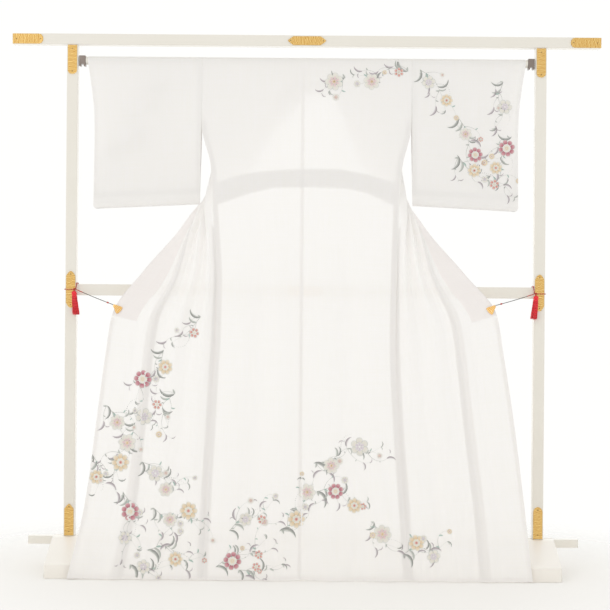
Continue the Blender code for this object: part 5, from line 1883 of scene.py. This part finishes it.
    def clip(self, side: Side) -> Object:
        """A fan clip: two ribbed leaves with a scalloped rim, joined at the narrow outer end.

        Args:
            side: Which half.

        Returns:
            The clip.
        """
        root, along, across, normal = self.clip_frame(side)
        rows = smooth_path(np.array([
            (self.clip_length, 0.0130, 0.0020), (0.0200, 0.0120, 0.0024), (0.0120, 0.0080, 0.0032),
            (0.0040, 0.0046, 0.0032), (0.0000, 0.0036, 0.0016)]), 0.0013)
        path = [(d, w, -y) for d, w, y in rows] + [(d, w, y) for d, w, y in rows[::-1]]
        spread = np.linspace(-1, 1, 49)
        rib = np.cos(spread * math.pi * 9)
        verts = []
        for wall in (self.clip_wall, -self.clip_wall):
            for d, w, y in path:
                bow = 0.0030 * (1 - spread ** 2) * eased(d, 0.014, 0.024) + 0.0005 * rib * eased(d, 0.020, 0.026)
                lift = y + math.copysign(1.0, y) * (wall + 0.00022 * rib * eased(d, 0.003, 0.012))
                verts += [root + along * (d + b) + across * w * t + normal * n for t, b, n in zip(spread, bow, lift)]
        reach = np.array([d for d, _, _ in path])
        uv = np.tile(pairs(spread[None, :] * 12, reach[:, None] * 1000), (2, 1))
        obj = mesh_object(f"fan_clip_{side.word}", np.array(verts) * np.array([side.value, 1.0, 1.0]),
                          slab_faces(len(path), len(spread)), uv, (self.gilt,))
        edge = np.minimum((1 - np.abs(spread))[None, :] * 12.0, ((self.clip_length - reach) * 1000 + 0.4)[:, None])
        add_rim(obj, np.tile(edge.ravel(), 2))
        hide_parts(f"clip_{side.word}")
        return obj

    def cord(self, side: Side, clip: Object) -> None:
        """The elastic from the knot to the clip, its first stretch wrapped in red, with a small red bead.

        Args:
            side: Which half.
            clip: The clip at its far end; not used.
        """
        sx, knot = side.value, self.knot_place(side)
        root, along, _, _ = self.clip_frame(side)
        start = knot - np.array([sx * (0.0040 + GAP + 0.0004), 0.0, 0.0])
        end = (root - along * 0.0014) * np.array([sx, 1.0, 1.0])
        t = np.linspace(0, 1, 36)
        path = start + (end - start) * t[:, None]
        path[:, 2] -= self.sag * np.sin(math.pi * t)
        obj = self.cord_piece(f"elastic_cord_{side.word}", self.elastic, path, self.elastic_r, 10)
        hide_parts(f"tie_cord_{side.word}")
        wrap = self.cord_piece(f"red_wrap_{side.word}", self.red, path[:8], self.plait_r, 12)
        bead_path = smooth_path(path[29:32], 0.0006)
        profile = np.sqrt(np.clip(1 - np.linspace(-1, 1, len(bead_path)) ** 2, 0, 1)) * 0.0022 + 0.0004
        bead = self.cord_piece(f"red_bead_{side.word}", self.red, bead_path, profile, 14)

    def build(self) -> None:
        """Make both ties."""
        for side in Side:
            self.cord(side, self.clip(side))
            self.loop(side)
            self.knot(side)
            self.tassel(side)
        log.info("ties, clips and tassels")


@dataclass
class Studio:
    """Floor, soft lights and the camera of the photograph."""

    lens: float = 94.43
    distance: float = 5.0
    height: float = 0.83
    roll: float = -0.0078
    near_wall: float = 0.94
    far_wall: float = 1.02
    floor_half: float = 3.0

    def floor(self) -> None:
        """A pale floor that fades out into the white surroundings far from the stand."""
        h, z = self.floor_half, -0.0006
        mesh = plain_mesh("studio_floor", np.array([(-h, -h, z), (h, -h, z), (h, h, z), (-h, h, z)]), [(0, 1, 2, 3)])
        mesh.materials.append(FloorPaint("studio_floor_matt_paint", "#F6F4F1").build())
        loose_object("studio_floor", mesh)

    def light(self, name: str, place: tuple, aim: tuple, size: tuple, power: float, colour: str) -> None:
        """A soft rectangular light.

        Args:
            name: The light's name.
            place: Where it stands.
            aim: The point that it faces.
            size: Width and height.
            power: Watts.
            colour: Colour such as "#F4EFEA".
        """
        data = bpy.data.lights.new(name, "AREA")
        data.shape, data.size, data.size_y = "RECTANGLE", *size
        data.energy, data.color = power, linear(colour)[:3]
        obj = loose_object(name, data)
        obj.location = place
        obj.rotation_euler = (Vector(aim) - Vector(place)).to_track_quat("-Z", "Y").to_euler()
        obj.visible_camera = False

    def build(self) -> None:
        """Set up floor, lights, surroundings and camera."""
        self.floor()
        world = bpy.data.worlds.new("white_surroundings")
        world.use_nodes = True
        tree = world.node_tree
        ahead = out(tree, "ShaderNodeSeparateXYZ", {0: out(tree, "ShaderNodeTexCoord", socket="Generated")}, "Y")
        surround = tree.nodes["Background"]
        surround.inputs[0].default_value = linear("#FEFEFC")
        tree.links.new(remap(tree, ahead, (-0.3, 0.5), (self.near_wall, self.far_wall)), surround.inputs[1])
        bpy.context.scene.world = world
        self.light("key_light", (-2.6, -3.6, 3.2), (0, 0, 0.9), (2.0, 2.0), 13.0, "#FFFDFB")
        self.light("back_light", (0.0, 2.6, 1.4), (0, 0, 0.85), (3.4, 2.6), 6.0, "#FFFEFD")
        camera = bpy.data.cameras.new("photograph")
        camera.lens, camera.sensor_width = self.lens, 36.0
        camera.clip_start, camera.clip_end = 0.1, 50.0
        obj = loose_object("photograph", camera)
        obj.location = (0.0, -self.distance + SHIFT_Y, self.height)
        obj.rotation_euler = (math.pi / 2, self.roll, 0.0)
        bpy.context.scene.camera = obj
        bpy.context.scene.view_settings.view_transform = "Standard"


def write_sizes() -> None:
    """Bring the scene's transforms up to date."""
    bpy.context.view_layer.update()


def main() -> None:
    """Build the pieces in order."""
    logging.basicConfig(level=logging.INFO, format="%(name)s %(message)s")
    Studio().build()
    # Creamy white on the bars; the feet get a lighter copy of the same lacquer, painted light for the extra light that
    # falls on them
    lacquer = Lacquer("white_lacquer_on_wood", "#EFEBE3", "#EAE5DA").build()
    pale = Lacquer("white_lacquer_feet", "#F8F4EE", "#F4EFE7").build()
    # Gilt with brown patina on the stand, brighter on the pressed clips
    gilt = TooledGilt("chased_gilt_brass", "#FFE29A", "#D09A48").build()
    clip_gilt = TooledGilt("bright_gilt_pressed_brass", "#FFE3A6", "#F2B45E").build()
    # Fine-grained paint on iron, and darkened brass
    iron = Lacquer("cast_iron_worn_paint", "#9A8C82", "#6E6059", 0.004).build()
    dark = Lacquer("darkened_brass_nails", "#8A6230", "#5E4018", 0.004).build()
    # Plaited cord, its loose floss in the tassels, and thin elastic
    red = Braid("plaited_red_silk_cord", "#D8503C", "#8E1F1E", 0.0022).build()
    floss = Braid("red_silk_floss", "#FC2836", "#DE1828", 0.0030, 0.55).build()
    elastic = Braid("black_elastic_cord", "#3A3232", "#141010", 0.0012).build()
    Ties(red, floss, elastic, clip_gilt).build()
    Stand(lacquer, pale, gilt, iron, dark).build()
    Garment(SILK.build(), SILK_FOLDED.build(), SILK_SEWN_SHADED.build()).build()
    write_sizes()


if __name__ == "__main__":
    main()
